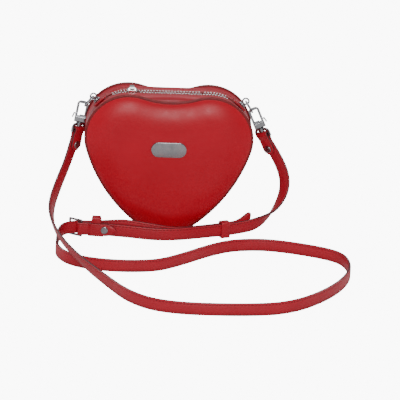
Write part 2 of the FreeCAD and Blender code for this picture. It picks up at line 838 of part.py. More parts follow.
def end_place(bar, axes):
    """Placement of a folded strap end."""
    e, n, w = axes
    matrix = FreeCAD.Matrix(e.x, n.x, w.x, bar.x, e.y, n.y, w.y, bar.y, e.z, n.z, w.z, bar.z, 0, 0, 0, 1)
    return FreeCAD.Placement(matrix)


def folded_end(bar_radius, length):
    """Strap end folded round a bar on the z axis, its layers along x, main layer on +y."""
    half = strap_width / 2
    outer = bar_radius + bar_gap + fold_thick
    ring = Part.makeCylinder(outer, strap_width, V(0, 0, -half))
    near = strap_layer / 2
    far = near + strap_thick
    main = box_between(0, end_straight, near, far, -half, half)
    fold = box_between(0, length, -far, -near, -half, half)
    tip = [e for e in edges_along(fold, "y") if e.CenterOfMass.x > length / 2]
    fold = fold.makeChamfer(fold_tip, tip)
    hole = Part.makeCylinder(bar_radius + bar_gap, 2 * strap_width, V(0, 0, -strap_width))
    return ring.fuse([main, fold]).cut(hole).removeSplitter()


def rivet(distance, sides):
    """Rivet through both layers of a folded end, this far from the bar, with its caps on these sides."""
    top = strap_layer / 2 + strap_thick
    caps = []
    for side in sides:
        cap = Part.makeCylinder(rivet_radius, rivet_cap, V(distance, side * top, 0), V(0, side, 0))
        caps.append(cap.makeFillet(rivet_round, [cap.Edges[0]]))
    shank = Part.makeCylinder(rivet_shank, 2 * top, V(distance, -top, 0), V(0, 1, 0))
    return shank.fuse(caps)


left_hook = hook_place(left_bar, left_tilt, 180)
right_hook = hook_place(right_bar, right_tilt, 0)
left_eye = hook_place(left_bar, left_tilt, left_turn)
right_eye = hook_place(right_bar, right_tilt, right_turn)
heel_direction = FreeCAD.Rotation(V(0, 0, 1), heel_heading).multVec(V(1, 0, 0))
toe_direction = FreeCAD.Rotation(V(0, 0, 1), buckle_heading).multVec(V(-1, 0, 0))
toe_bar = heel_bar + toe_direction * toe_from_heel
left_axes = end_axes(left_bar, left_eye.Rotation.multVec(V(1, 0, 0)), V(*long_route[0][0]))
right_axes = end_axes(right_bar, right_eye.Rotation.multVec(V(1, 0, 0)), V(*short_route[0][0]))
heel_axes = end_axes(heel_bar, V(0, 0, 1), heel_bar + heel_direction)


def end_point(bar, axes):
    """Middle of the main layer where a folded end goes over into the strap."""
    e, n, w = axes
    return bar + e * end_straight + n * layer_offset


def long_strap():
    """Long strap, from the left hook round the floor and through the buckle to its pointed tail."""
    points = [end_point(left_bar, left_axes)] + [V(*p) for p, w in long_route]
    widths = [left_axes[2] * -1] + [V(*w) for p, w in long_route]
    strap = strap_run("long strap", points, widths)
    strap = strap.fuse(put(folded_end(eye_bar_radius, fold_length), end_place(left_bar, left_axes)))
    return strap.cut(prong_slot()).removeSplitter()


def short_strap():
    """Short strap, from the right hook to the buckle's heel bar."""
    middle = [V(*p) for p, w in short_route]
    points = [end_point(right_bar, right_axes)] + middle + [end_point(heel_bar, heel_axes)]
    widths = [right_axes[2]] + [V(*w) for p, w in short_route] + [V(0, 0, 1)]
    strap = strap_run("short strap", points, widths)
    right = put(folded_end(eye_bar_radius, fold_length), end_place(right_bar, right_axes))
    heel = put(folded_end(buckle_bar, buckle_fold_length), end_place(heel_bar, heel_axes))
    return strap.fuse([right, heel]).cut(prong_slot()).removeSplitter()


def strap_rivets():
    """The three rivets that close the folded strap ends."""
    places = [
        (rivet_from_bar, (-1, 1), end_place(left_bar, left_axes)),
        (rivet_from_bar, (-1, 1), end_place(right_bar, right_axes)),
        (buckle_rivet_from_bar, (-1,), end_place(heel_bar, heel_axes)),
    ]
    return Part.makeCompound([put(rivet(distance, sides), place) for distance, sides, place in places])


def prong_slot():
    """Slot for the prong, through the strap's end fold and the strap that passes the buckle."""
    half = prong_slot_height / 2
    reach = prong_slot_length
    body = box_between(-reach, prong_bar_radius + prong_gap, -reach, reach, -half, half)
    return put(body, FreeCAD.Placement(heel_bar, FreeCAD.Rotation()))


def buckle_frame():
    """Rectangular wire frame with its toe bar and heel bar."""
    half = buckle_height / 2 + buckle_bar
    up = V(0, 0, 1)
    corners = [heel_bar - up * half, heel_bar + up * half, toe_bar + up * half, toe_bar - up * half]
    bars = []
    for p, q in zip(corners, corners[1:] + corners[:1]):
        bars.append(Part.makeCylinder(buckle_bar, (q - p).Length, p, q - p))
    balls = [Part.makeSphere(buckle_bar, p) for p in corners]
    return bars[0].fuse(bars[1:] + balls).removeSplitter()


def buckle_prong():
    """Prong on the heel bar, its tip on the far side of the toe bar."""
    half = prong_slot_height / 2 - prong_gap * 3
    barrel = Part.makeCylinder(prong_bar_radius, 2 * half, heel_bar - V(0, 0, half))
    side = V(-toe_direction.y, toe_direction.x, 0) * -1
    tip = toe_bar + side * (buckle_bar + prong_wire + 2 * prong_gap) + toe_direction * buckle_bar
    reach = tip - heel_bar
    needle = Part.makeCylinder(prong_wire, reach.Length, heel_bar, reach)
    point = Part.makeSphere(prong_wire, tip)
    hole = Part.makeCylinder(buckle_bar + prong_gap, 4 * half, heel_bar - V(0, 0, 2 * half))
    return barrel.fuse([needle, point]).cut(hole).removeSplitter()


def keeper(front, rear):
    """Leather loop round the strap's layers, which lie between front and rear on the y axis."""
    half = strap_width / 2 + keeper_gap
    x = keeper_length / 2
    inner = box_between(-keeper_length, keeper_length, front - keeper_gap, rear + keeper_gap, -half, half)
    wall = keeper_wall + keeper_gap
    outer = box_between(-x, x, front - wall, rear + wall, -half - keeper_wall, half + keeper_wall)
    outer = outer.makeFillet(keeper_round, edges_along(outer, "x"))
    return outer.cut(inner)


def fixed_keeper():
    """Keeper beside the buckle, round the folded end and the tail."""
    far = strap_layer / 2 + strap_thick
    tail = far + strap_layer + strap_thick
    place = end_place(heel_bar + heel_direction * fixed_keeper_from_bar, heel_axes)
    return put(keeper(-far, tail), place)


def sliding_keeper():
    """Keeper that slides along the straight stretch of both straps."""
    start = V(*short_route[slide_run_index][0])
    end = V(*short_route[slide_run_index + 1][0])
    middle = start + (end - start) * slide_keeper_at
    e = unit(start - end)
    axes = (e, unit(V(0, 0, 1).cross(e)), V(0, 0, 1))
    half = strap_thick / 2
    return put(keeper(-half, half + strap_layer + strap_thick), end_place(middle, axes))


def save(name, shape):
    """Write one node."""
    solids = shape.Solids
    if not shape.isValid() or not solids:
        print("PROBLEM", name, len(solids), shape.isValid())
    shape.exportStep("parts/" + name + ".step")


def one(shape):
    """The single solid of a shape that a boolean operation left in a compound."""
    return shape.Solids[0] if len(shape.Solids) == 1 else shape


def bag_nodes():
    """Panels, welts, gusset, filling and lining."""
    yield "front_panel", flat_tip(pierced_front(panel(-1, front_crown)))
    yield "back_panel", flat_tip(panel(1, back_crown))
    yield "front_welt", flat_tip(welt(-1))
    yield "back_welt", flat_tip(welt(1))
    yield "gusset_band", stud_hole(flat_tip(gusset_layer(0, leather)))
    yield "gusset_lining", gusset_layer(lining_inset, lining_inset + lining)
    yield "front_foam", foam(-1, front_crown)
    yield "back_foam", foam(1, back_crown)
    yield "front_lining", lining_plate(-1)
    yield "back_lining", lining_plate(1)
    yield "slip_pocket", slip_pocket()
    yield "badge_plate", badge_plate()


def zip_nodes():
    """Strips, tapes, teeth, stops, slider and pull."""
    for name, out in (("front", -1), ("rear", 1)):
        strip = strip_whole(out)
        tape = tape_whole(out)
        yield name + "_strip_flap", strip.common(flap_zone(out, 0))
        yield name + "_strip_ends", strip.cut(flap_zone(out, flap_gap))
        yield name + "_tape_flap", tape.common(flap_zone(out, 0))
        yield name + "_tape_ends", tape.cut(flap_zone(out, flap_gap))
        yield name + "_teeth_flap", teeth(out, True)
        yield name + "_teeth_ends", teeth(out, False)
    yield "zip_stops", zip_stops()
    yield "zip_slider", zip_slider()
    yield "zip_pull", zip_pull()


def fitting_nodes():
    """Tabs, studs, washers, links and snap hooks on both sides."""
    ring_right = stud_point(stud_ring_at)
    ring_left = V(-ring_right.x, 0, ring_right.z)
    left = ("left", True, ring_left, left_hook, left_eye, left_catch_angle)
    right = ("right", False, ring_right, right_hook, right_eye, right_catch_angle)
    yield "stud_washers", Part.makeCompound([stud_washer(), mirrored(stud_washer())])
    for name, flip, ring, hook, eye, angle in (left, right):
        catch, run = hook_catch(angle)
        yield name + "_tab", mirrored(end_tab()) if flip else end_tab()
        yield name + "_stud", mirrored(stud()) if flip else stud()
        yield name + "_link", link(ring, hook.multVec(catch), hook.Rotation.multVec(run))
        yield name + "_eye", put(swivel_eye(), eye)
        yield name + "_hook", put(hook_body(), hook)
        yield name + "_gate", put(gate(), hook)
        yield name + "_gate_pin", put(gate_pin(), hook)


def strap_nodes():
    """Straps, rivets, buckle and keepers."""
    yield "long_strap", long_strap()
    yield "short_strap", short_strap()
    yield "strap_rivets", strap_rivets()
    yield "buckle_frame", buckle_frame()
    yield "buckle_prong", buckle_prong()
    yield "fixed_keeper", fixed_keeper()
    yield "sliding_keeper", sliding_keeper()


os.makedirs("parts", exist_ok=True)
for group in (bag_nodes, zip_nodes, fitting_nodes, strap_nodes):
    for node, shape in group():
        save(node, one(shape))
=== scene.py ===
"""Dresses the heart shaped purse: leather, zip, metal fittings, straps, light and camera. Metres."""

import json
import logging
import math
from contextlib import contextmanager
from dataclasses import dataclass
from enum import Enum
from typing import Iterable, Iterator, Sequence

import bpy
from mathutils import Matrix, Vector


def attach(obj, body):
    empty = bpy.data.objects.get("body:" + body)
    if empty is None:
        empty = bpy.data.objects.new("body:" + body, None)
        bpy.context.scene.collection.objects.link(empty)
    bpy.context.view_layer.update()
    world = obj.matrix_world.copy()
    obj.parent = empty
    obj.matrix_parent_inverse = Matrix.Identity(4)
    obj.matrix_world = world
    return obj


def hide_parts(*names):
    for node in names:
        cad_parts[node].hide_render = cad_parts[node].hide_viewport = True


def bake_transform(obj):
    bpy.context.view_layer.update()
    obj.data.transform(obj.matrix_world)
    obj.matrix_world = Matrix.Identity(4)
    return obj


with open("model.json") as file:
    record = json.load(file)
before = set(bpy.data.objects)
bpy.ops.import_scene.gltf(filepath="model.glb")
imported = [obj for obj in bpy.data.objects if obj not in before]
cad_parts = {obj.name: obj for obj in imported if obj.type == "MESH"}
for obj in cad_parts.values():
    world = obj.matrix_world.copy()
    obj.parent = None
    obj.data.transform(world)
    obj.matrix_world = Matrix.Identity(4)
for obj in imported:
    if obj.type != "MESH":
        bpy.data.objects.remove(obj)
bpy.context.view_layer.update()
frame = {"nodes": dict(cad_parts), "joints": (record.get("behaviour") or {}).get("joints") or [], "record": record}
LOG = logging.getLogger("purse")
Colour = tuple[float, float, float, float]
Rows = Sequence[Sequence[Vector]]


class Body(Enum):
    """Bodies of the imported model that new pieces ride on."""

    PURSE = "purse"
    FRONT_FLAP = "front_flap"
    REAR_FLAP = "rear_flap"
    KEEPER = "sliding_keeper"


class Slot(Enum):
    """Material slots of the record."""

    RED = "red_leather"
    STRAP = "strap_leather"
    EDGE = "edge_paint"
    LINING = "lining"
    TAPE = "zip_tape"
    ZIP = "zip_metal"
    METAL = "polished_metal"
    FOAM = "foam"


class Tree:
    """Node tree of one finish; noise counts between its low and high end."""

    low_end = 0.3
    high_end = 0.7

    def __init__(self, name: str) -> None:
        """Start a material with its Principled surface."""
        self.material = bpy.data.materials.new(name)
        self.material.use_nodes = True
        self.nodes = self.material.node_tree.nodes
        self.links = self.material.node_tree.links
        self.surface = self.nodes["Principled BSDF"]

    def set(self, **values: float) -> None:
        """Set constants on the surface's own sockets; an underscore stands for a space."""
        for name, value in values.items():
            self.surface.inputs[name.replace("_", " ")].default_value = value

    def add(self, kind: str, **values: float) -> bpy.types.Node:
        """Add a node and set its sockets.

        Args:
            kind: Blender's name of the node type.
            values: socket values, with an underscore for each space.

        Returns:
            The new node.
        """
        node = self.nodes.new(kind)
        for name, value in values.items():
            node.inputs[name.replace("_", " ")].default_value = value
        return node

    def join(self, source: bpy.types.NodeSocket, target: bpy.types.NodeSocket) -> None:
        """Link two sockets."""
        self.links.new(source, target)

    def object_place(self) -> bpy.types.NodeSocket:
        """Object coordinates."""
        return self.add("ShaderNodeTexCoord").outputs["Object"]

    def noise(self, scale: float, detail: float) -> bpy.types.NodeSocket:
        """Noise on Object coordinates.

        Args:
            scale: cells in a metre.
            detail: octaves.

        Returns:
            The noise value.
        """
        node = self.add("ShaderNodeTexNoise", Scale=scale, Detail=detail)
        self.join(self.object_place(), node.inputs["Vector"])
        return node.outputs["Fac"]

    def between(self, value: bpy.types.NodeSocket, low: Colour, high: Colour) -> bpy.types.NodeSocket:
        """Colour between two, by a value around one half.

        Args:
            value: the driving value.
            low: colour at its low end.
            high: colour at its high end.

        Returns:
            The mixed colour.
        """
        ramp = self.add("ShaderNodeValToRGB")
        ramp.color_ramp.elements[0].position = self.low_end
        ramp.color_ramp.elements[1].position = self.high_end
        ramp.color_ramp.elements[0].color = low
        ramp.color_ramp.elements[1].color = high
        self.join(value, ramp.inputs["Fac"])
        return ramp.outputs["Color"]

    def span(self, value: bpy.types.NodeSocket, low: float, high: float) -> bpy.types.NodeSocket:
        """Map a value to a range.

        Args:
            value: the driving value.
            low: result at its low end.
            high: result at its high end.

        Returns:
            The mapped value.
        """
        node = self.add(
            "ShaderNodeMapRange", From_Min=self.low_end, From_Max=self.high_end, To_Min=low, To_Max=high
        )
        self.join(value, node.inputs["Value"])
        return node.outputs["Result"]

    def bump(self, height: bpy.types.NodeSocket, strength: float, distance: float) -> None:
        """Bump the surface.

        Args:
            height: height pattern.
            strength: share of the bump.
            distance: its depth in metres.
        """
        node = self.add("ShaderNodeBump", Strength=strength, Distance=distance)
        before = self.surface.inputs["Normal"]
        if before.is_linked:
            self.join(before.links[0].from_socket, node.inputs["Normal"])
        self.join(height, node.inputs["Height"])
        self.join(node.outputs["Normal"], before)


@dataclass(frozen=True)
class Leather:
    """Smooth leather: fine pores, soft creases, slow shifts of tone and gloss."""

    name: str
    tone: Colour
    deep: Colour
    gloss: tuple[float, float] = (0.30, 0.42)
    pore_scale: float = 1500.0
    crease_scale: float = 160.0
    tone_scale: float = 22.0
    pore_depth: float = 0.00006
    crease_depth: float = 0.00025
    tone_detail: float = 3.0
    crease_detail: float = 4.0
    pore_strength: float = 0.35
    crease_strength: float = 0.25
    shine: float = 0.4
    coat: float = 0.08
    coat_rough: float = 0.3

    def make(self) -> bpy.types.Material:
        """Build the material."""
        tree = Tree(self.name)
        tree.set(Coat_Weight=self.coat, Coat_Roughness=self.coat_rough, Specular_IOR_Level=self.shine)
        slow = tree.noise(self.tone_scale, self.tone_detail)
        tree.join(tree.between(slow, self.deep, self.tone), tree.surface.inputs["Base Color"])
        crease = tree.noise(self.crease_scale, self.crease_detail)
        tree.join(tree.span(crease, *self.gloss), tree.surface.inputs["Roughness"])
        pores = tree.add("ShaderNodeTexVoronoi", Scale=self.pore_scale)
        tree.join(tree.object_place(), pores.inputs["Vector"])
        tree.bump(pores.outputs["Distance"], self.pore_strength, self.pore_depth)
        tree.bump(crease, self.crease_strength, self.crease_depth)
        return tree.material


@dataclass(frozen=True)
class EdgePaint:
    """Brushed-on edge paint, a little uneven."""

    name: str
    tone: Colour
    deep: Colour
    gloss: tuple[float, float] = (0.4, 0.55)
    ripple_scale: float = 420.0
    ripple_detail: float = 3.0
    ripple_strength: float = 0.3
    ripple_depth: float = 0.0002
    shine: float = 0.4
    coat: float = 0.2
    coat_rough: float = 0.3

    def make(self) -> bpy.types.Material:
        """Build the material."""
        tree = Tree(self.name)
        tree.set(Specular_IOR_Level=self.shine, Coat_Weight=self.coat, Coat_Roughness=self.coat_rough)
        ripple = tree.noise(self.ripple_scale, self.ripple_detail)
        tree.join(tree.between(ripple, self.deep, self.tone), tree.surface.inputs["Base Color"])
        tree.join(tree.span(ripple, *self.gloss), tree.surface.inputs["Roughness"])
        tree.bump(ripple, self.ripple_strength, self.ripple_depth)
        return tree.material


@dataclass(frozen=True)
class Metal:
    """Polished plated metal with faint wear."""

    name: str
    tone: Colour
    worn: Colour
    gloss: tuple[float, float] = (0.07, 0.16)
    wear_scale: float = 260.0
    wear_detail: float = 5.0
    wear_strength: float = 0.08
    wear_depth: float = 0.00005

    def make(self) -> bpy.types.Material:
        """Build the material."""
        tree = Tree(self.name)
        tree.set(Metallic=1.0)
        wear = tree.noise(self.wear_scale, self.wear_detail)
        tree.join(tree.between(wear, self.worn, self.tone), tree.surface.inputs["Base Color"])
        tree.join(tree.span(wear, *self.gloss), tree.surface.inputs["Roughness"])
        tree.bump(wear, self.wear_strength, self.wear_depth)
        return tree.material


@dataclass(frozen=True)
class Cloth:
    """Woven cloth: two crossed sets of threads."""

    name: str
    tone: Colour
    deep: Colour
    threads: float = 1400.0
    sheen: float = 0.2
    shine: float = 0.2
    rough: float = 0.85
    wander: float = 0.4
    weave_strength: float = 0.5
    weave_depth: float = 0.0002

    def make(self) -> bpy.types.Material:
        """Build the material."""
        tree = Tree(self.name)
        tree.set(Roughness=self.rough, Sheen_Weight=self.sheen, Specular_IOR_Level=self.shine)
        place = tree.object_place()
        threads = []
        for direction in ("X", "Z"):
            wave = tree.add("ShaderNodeTexWave", Scale=self.threads / math.tau, Distortion=self.wander)
            wave.bands_direction = direction
            tree.join(place, wave.inputs["Vector"])
            threads.append(wave.outputs["Fac"])
        weave = tree.add("ShaderNodeMath")
        weave.operation = "MAXIMUM"
        for thread, socket in zip(threads, weave.inputs):
            tree.join(thread, socket)
        high = weave.outputs["Value"]
        tree.join(tree.between(high, self.deep, self.tone), tree.surface.inputs["Base Color"])
        tree.bump(high, self.weave_strength, self.weave_depth)
        return tree.material


@dataclass(frozen=True)
class FloorFinish:
    """Pale floor of a light table: it looks white, and lights the purse no more than a pale floor does."""

    name: str
    tone: Colour
    glow: float
    rough: float = 0.8

    def make(self) -> bpy.types.Material:
        """Build the material."""
        tree = Tree(self.name)
        tree.set(Base_Color=self.tone, Roughness=self.rough, Emission_Color=(1, 1, 1, 1))
        seen = tree.add("ShaderNodeLightPath").outputs["Is Camera Ray"]
        strength = tree.add("ShaderNodeMapRange", To_Max=self.glow)
        tree.join(seen, strength.inputs["Value"])
        tree.join(strength.outputs["Result"], tree.surface.inputs["Emission Strength"])
        return tree.material


class Finishes:
    """All finishes of the purse, made once."""

    def __init__(self) -> None:
        """Make every material."""
        self.panel = Leather(
            "red_panel_leather", (0.64, 0.006, 0.024, 1), (0.57, 0.005, 0.020, 1), shine=0.29
        ).make()
        self.strip = Leather(
            "red_gusset_leather", (0.50, 0.014, 0.030, 1), (0.43, 0.010, 0.024, 1), shine=0.6
        ).make()
        self.strap = Leather(
            "red_strap_leather", (0.60, 0.018, 0.037, 1), (0.51, 0.013, 0.029, 1), crease_scale=260.0
        ).make()
        self.edge = EdgePaint("dark_edge_paint", (0.13, 0.020, 0.026, 1), (0.09, 0.014, 0.018, 1)).make()
        self.seam = EdgePaint("dark_red_seam", (0.27, 0.009, 0.013, 1), (0.20, 0.007, 0.010, 1)).make()
        self.thread = EdgePaint("dark_red_thread", (0.26, 0.008, 0.012, 1), (0.18, 0.006, 0.009, 1)).make()
        self.metal = Metal("polished_silver", (0.50, 0.50, 0.52, 1), (0.34, 0.34, 0.36, 1)).make()
        self.zip = Metal("zip_silver", (0.93, 0.91, 0.91, 1), (0.84, 0.82, 0.82, 1), gloss=(0.12, 0.22)).make()
        self.lining = Cloth("dark_red_lining", (0.20, 0.012, 0.018, 1), (0.10, 0.006, 0.010, 1)).make()
        self.tape = Cloth("red_zip_tape", (0.36, 0.012, 0.018, 1), (0.20, 0.006, 0.010, 1), threads=2400.0).make()
        self.foam = Cloth(
            "pale_foam", (0.80, 0.78, 0.72, 1), (0.60, 0.58, 0.52, 1), threads=900.0, sheen=0.0
        ).make()


class Bench:
    """Shared modelling steps, and the angles in degrees above which an edge stays sharp."""

    crisp = 40.0
    rolled = 50.0
    stuffed = 60.0
    rounded = 80.0

    @staticmethod
    def only(piece: bpy.types.Object) -> None:
        """Make a piece the active and only selected object."""
        bpy.ops.object.select_all(action="DESELECT")
        piece.select_set(True)
        bpy.context.view_layer.objects.active = piece

    @staticmethod
    def lay(name: str, rows: Rows) -> bpy.types.Object:
        """Lay a grid primitive on rows of places and merge what meets.

        Args:
            name: name of the piece.
            rows: places, the same number in each row; a closed row repeats its first place.

        Returns:
            The piece, with a UV map that runs along its rows and across them.
        """
        bpy.ops.object.select_all(action="DESELECT")
        bpy.ops.mesh.primitive_grid_add(
            x_subdivisions=len(rows[0]) - 1, y_subdivisions=len(rows) - 1, size=1, calc_uvs=True
        )
        piece = bpy.context.active_object
        piece.name = name
        piece.data.name = name
        places = [place for row in rows for place in row]
        for vertex, place in zip(piece.data.vertices, places):
            vertex.co = place
        return piece

    @staticmethod
    @contextmanager
    def editing(piece: bpy.types.Object) -> Iterator[None]:
        """Edit mode on one piece, all of it selected."""
        Bench.only(piece)
        bpy.ops.object.mode_set(mode="EDIT")
        bpy.ops.mesh.select_all(action="SELECT")
        yield
        bpy.ops.object.mode_set(mode="OBJECT")

    @staticmethod
    def close(piece: bpy.types.Object, gap: float = 1e-6) -> None:
        """Merge doubles and turn the faces outwards."""
        with Bench.editing(piece):
            bpy.ops.mesh.remove_doubles(threshold=gap)
            bpy.ops.mesh.normals_make_consistent(inside=False)

    @staticmethod
    def modify(piece: bpy.types.Object, kind: str, **values: float) -> None:
        """Add one modifier, set it and apply it."""
        Bench.only(piece)
        bpy.ops.object.modifier_add(type=kind)
        modifier = piece.modifiers[-1]
        for name, value in values.items():
            setattr(modifier, name, value)
        bpy.ops.object.modifier_apply(modifier=modifier.name)

    @staticmethod
    def smooth(piece: bpy.types.Object, degrees: float = crisp) -> None:
        """Shade smooth, apart from edges sharper than this."""
        Bench.only(piece)
        bpy.ops.object.shade_smooth_by_angle(angle=math.radians(degrees))

    @staticmethod
    def hand_over(
        piece: bpy.types.Object,
        body: Body | None,
        slot: Slot,
        materials: Iterable[bpy.types.Material],
        replaced: Iterable[str] = (),
    ) -> bpy.types.Object:
        """Give a piece its materials and body, and hide what it stands for.

        Args:
            piece: finished mesh.
            body: body it rides on, or None where it bends between two.
            slot: record's slot; not used.
            materials: materials in the order of its slots.
            replaced: CAD nodes it stands for.

        Returns:
            The piece.
        """
        painted = [face.material_index for face in piece.data.polygons]
        piece.data.materials.clear()
        for material in materials:
            piece.data.materials.append(material)
        for face, index in zip(piece.data.polygons, painted):
            face.material_index = index
        if body:
            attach(piece, body.value)
        if replaced:
            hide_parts(*replaced)
        LOG.info("%s: %d faces", piece.name, len(piece.data.polygons))
        return piece


@dataclass(frozen=True)
class Heart:
    """Heart outline of the seam, drawn with tangent arcs, in the plane of the panels."""

    half_width: float = 0.080
    top: float = 0.1375
    lobe_radius: float = 0.041
    side_radius: float = 0.147
    tip_radius: float = 0.035
    tip_z: float = 0.0345
    notch_depth: float = 0.006
    notch_steps: int = 14
    lobe_steps: int = 44
    side_steps: int = 34
    tip_steps: int = 18

    @property
    def lobe(self) -> tuple[float, float]:
        """Centre of the right lobe."""
        return self.half_width - self.lobe_radius, self.top - self.lobe_radius

    @property
    def notch(self) -> tuple[float, float]:
        """Height and radius of the notch's circle."""
        x, _ = self.lobe
        rise = self.lobe_radius - self.notch_depth
        radius = (x * x + rise * rise - self.lobe_radius**2) / (2 * self.notch_depth)
        return self.top - self.notch_depth + radius, radius

    @property
    def side(self) -> tuple[float, float]:
        """Centre of the right side's arc, tangent to the lobe and the tip."""
        x, z = self.lobe
        a = self.side_radius - self.lobe_radius
        b = self.side_radius - self.tip_radius
        dx, dz = -x, self.tip_z - z
        gap = math.hypot(dx, dz)
        along = (a * a - b * b + gap * gap) / (2 * gap)
        off = math.sqrt(a * a - along * along)
        return x + (along * dx + off * dz) / gap, z + (along * dz - off * dx) / gap

    def angles(self) -> tuple[float, float, float]:
        """Angles in degrees where the notch, the lobe's lower end and the side's lower end lie."""
        x, z = self.lobe
        side_x, side_z = self.side
        notch_z, _ = self.notch
        return (
            math.degrees(math.atan2(notch_z - z, -x)),
            math.degrees(math.atan2(z - side_z, x - side_x)),
            math.degrees(math.atan2(self.tip_z - side_z, -side_x)),
        )

    def arcs(self, inset: float) -> list[tuple[float, float, float, float, float, int]]:
        """Arcs of the outline, clockwise from the notch's left end.

        Args:
            inset: distance inside the seam.

        Returns:
            Centre x and z, radius, first and last angle and number of steps of each arc.
        """
        x, z = self.lobe
        sx, sz = self.side
        notch_z, notch_r = self.notch
        top, high, low = self.angles()
        lobe_r, side_r, tip_r = self.lobe_radius - inset, self.side_radius - inset, self.tip_radius - inset
        return [
            (0, notch_z, notch_r + inset, 360 - top, 180 + top, self.notch_steps),
            (x, z, lobe_r, top, high, self.lobe_steps),
            (sx, sz, side_r, high, low, self.side_steps),
            (0, self.tip_z, tip_r, low, -180 - low, self.tip_steps),
            (-sx, sz, side_r, 180 - low, 180 - high, self.side_steps),
            (-x, z, lobe_r, 180 - high, 180 - top, self.lobe_steps),
        ]

    def ring(self, inset: float, y: float) -> list[Vector]:
        """Closed outline, moved inwards, its first place repeated at the end.

        Args:
            inset: distance inside the seam.
            y: plane of the outline.

        Returns:
            Places along the outline, flattened under the tip.
        """
        places = []
        for cx, cz, radius, start, end, steps in self.arcs(inset):
            for i in range(steps):
                angle = math.radians(start + (end - start) * i / steps)
                places.append(self.on_floor(cx + radius * math.cos(angle), y, cz + radius * math.sin(angle)))
        return places + [places[0].copy()]

    @staticmethod
    def on_floor(x: float, y: float, z: float) -> Vector:
        """Place that doesn't go below the flat under the tip."""
        return Vector((x, y, max(z, 0.0)))


@dataclass(frozen=True)
class RoutePoint:
    """Control point of a strap and the direction of its width there."""

    place: tuple[float, float, float]
    width: tuple[float, float, float] = (0.0, 0.0, 1.0)


class Spline:
    """Smooth line through control points, read back as places."""

    def __init__(self, points: Sequence[RoutePoint], steps: int, half_width: float) -> None:
        """Read the middle line and one edge line of a strap.

        Args:
            points: control points.
            steps: places between two control points.
            half_width: distance from the middle line to the edge.
        """
        self.middle = self.read([Vector(p.place) for p in points], steps)
        edges = [Vector(p.place) + Vector(p.width).normalized() * half_width for p in points]
        self.edge = self.read(edges, steps)

    @staticmethod
    def read(places: Sequence[Vector], steps: int) -> list[Vector]:
        """Places along the smooth curve with these control points."""
        data = bpy.data.curves.new("strap_line", "CURVE")
        data.dimensions = "3D"
        data.resolution_u = steps
        spline = data.splines.new("NURBS")
        spline.points.add(len(places) - 1)
        for point, place in zip(spline.points, places):
            point.co = (*place, 1.0)
        spline.order_u = 3
        spline.use_endpoint_u = True
        holder = bpy.data.objects.new("strap_line", data)
        bpy.context.scene.collection.objects.link(holder)
        mesh = bpy.data.meshes.new_from_object(holder)
        found = [vertex.co.copy() for vertex in mesh.vertices]
        bpy.data.meshes.remove(mesh)
        bpy.data.objects.remove(holder)
        bpy.data.curves.remove(data)
        return found

    def frames(self) -> list[tuple[Vector, Vector, Vector, Vector]]:
        """Place, direction, width and thickness directions along the line."""
        found = []
        last = len(self.middle) - 1
        for i, place in enumerate(self.middle):
            along = (self.middle[min(i + 1, last)] - self.middle[max(i - 1, 0)]).normalized()
            width = self.edge[i] - place
            width = (width - along * width.dot(along)).normalized()
            found.append((place, along, width, along.cross(width)))
        return found

    def length(self) -> float:
        """Length of the middle line."""
        return sum((b - a).length for a, b in zip(self.middle, self.middle[1:]))


@dataclass(frozen=True)
class StrapSection:
    """Section of a stitched strap: a flat band with painted edges and a groove under each row of stitches."""

    width: float = 0.0124
    thick: float = 0.0024
    corner: float = 0.0009
    corner_share: float = 0.3
    seam_in: float = 0.0019
    groove: float = 0.00022
    groove_half: float = 0.0006
    swell: float = 0.00015

    def half(self) -> list[tuple[float, float]]:
        """One face of the section from the lower edge to the upper one: places across and out."""
        w, t = self.width / 2, self.thick / 2
        s = w - self.seam_in
        g = self.groove_half
        cut = self.corner_share * self.corner
        lower = [
            (-w, t - self.corner),
            (-w + cut, t - cut),
            (-w + self.corner, t),
            (-s - g, t),
            (-s, t - self.groove),
            (-s + g, t),
            (-s / 2, t + self.swell),
        ]
        return lower + [(0.0, t + self.swell)] + [(-across, out) for across, out in reversed(lower)]

    def outline(self) -> list[tuple[float, float]]:
        """Closed section, its first place repeated at the end."""
        front = self.half()
        back = [(-across, -out) for across, out in front]
        return front + back + [front[0]]

    def edge_columns(self) -> set[int]:
        """Columns of faces that lie on the painted edges."""
        n = len(self.half())
        return {0, n - 2, n - 1, n, 2 * n - 2, 2 * n - 1}


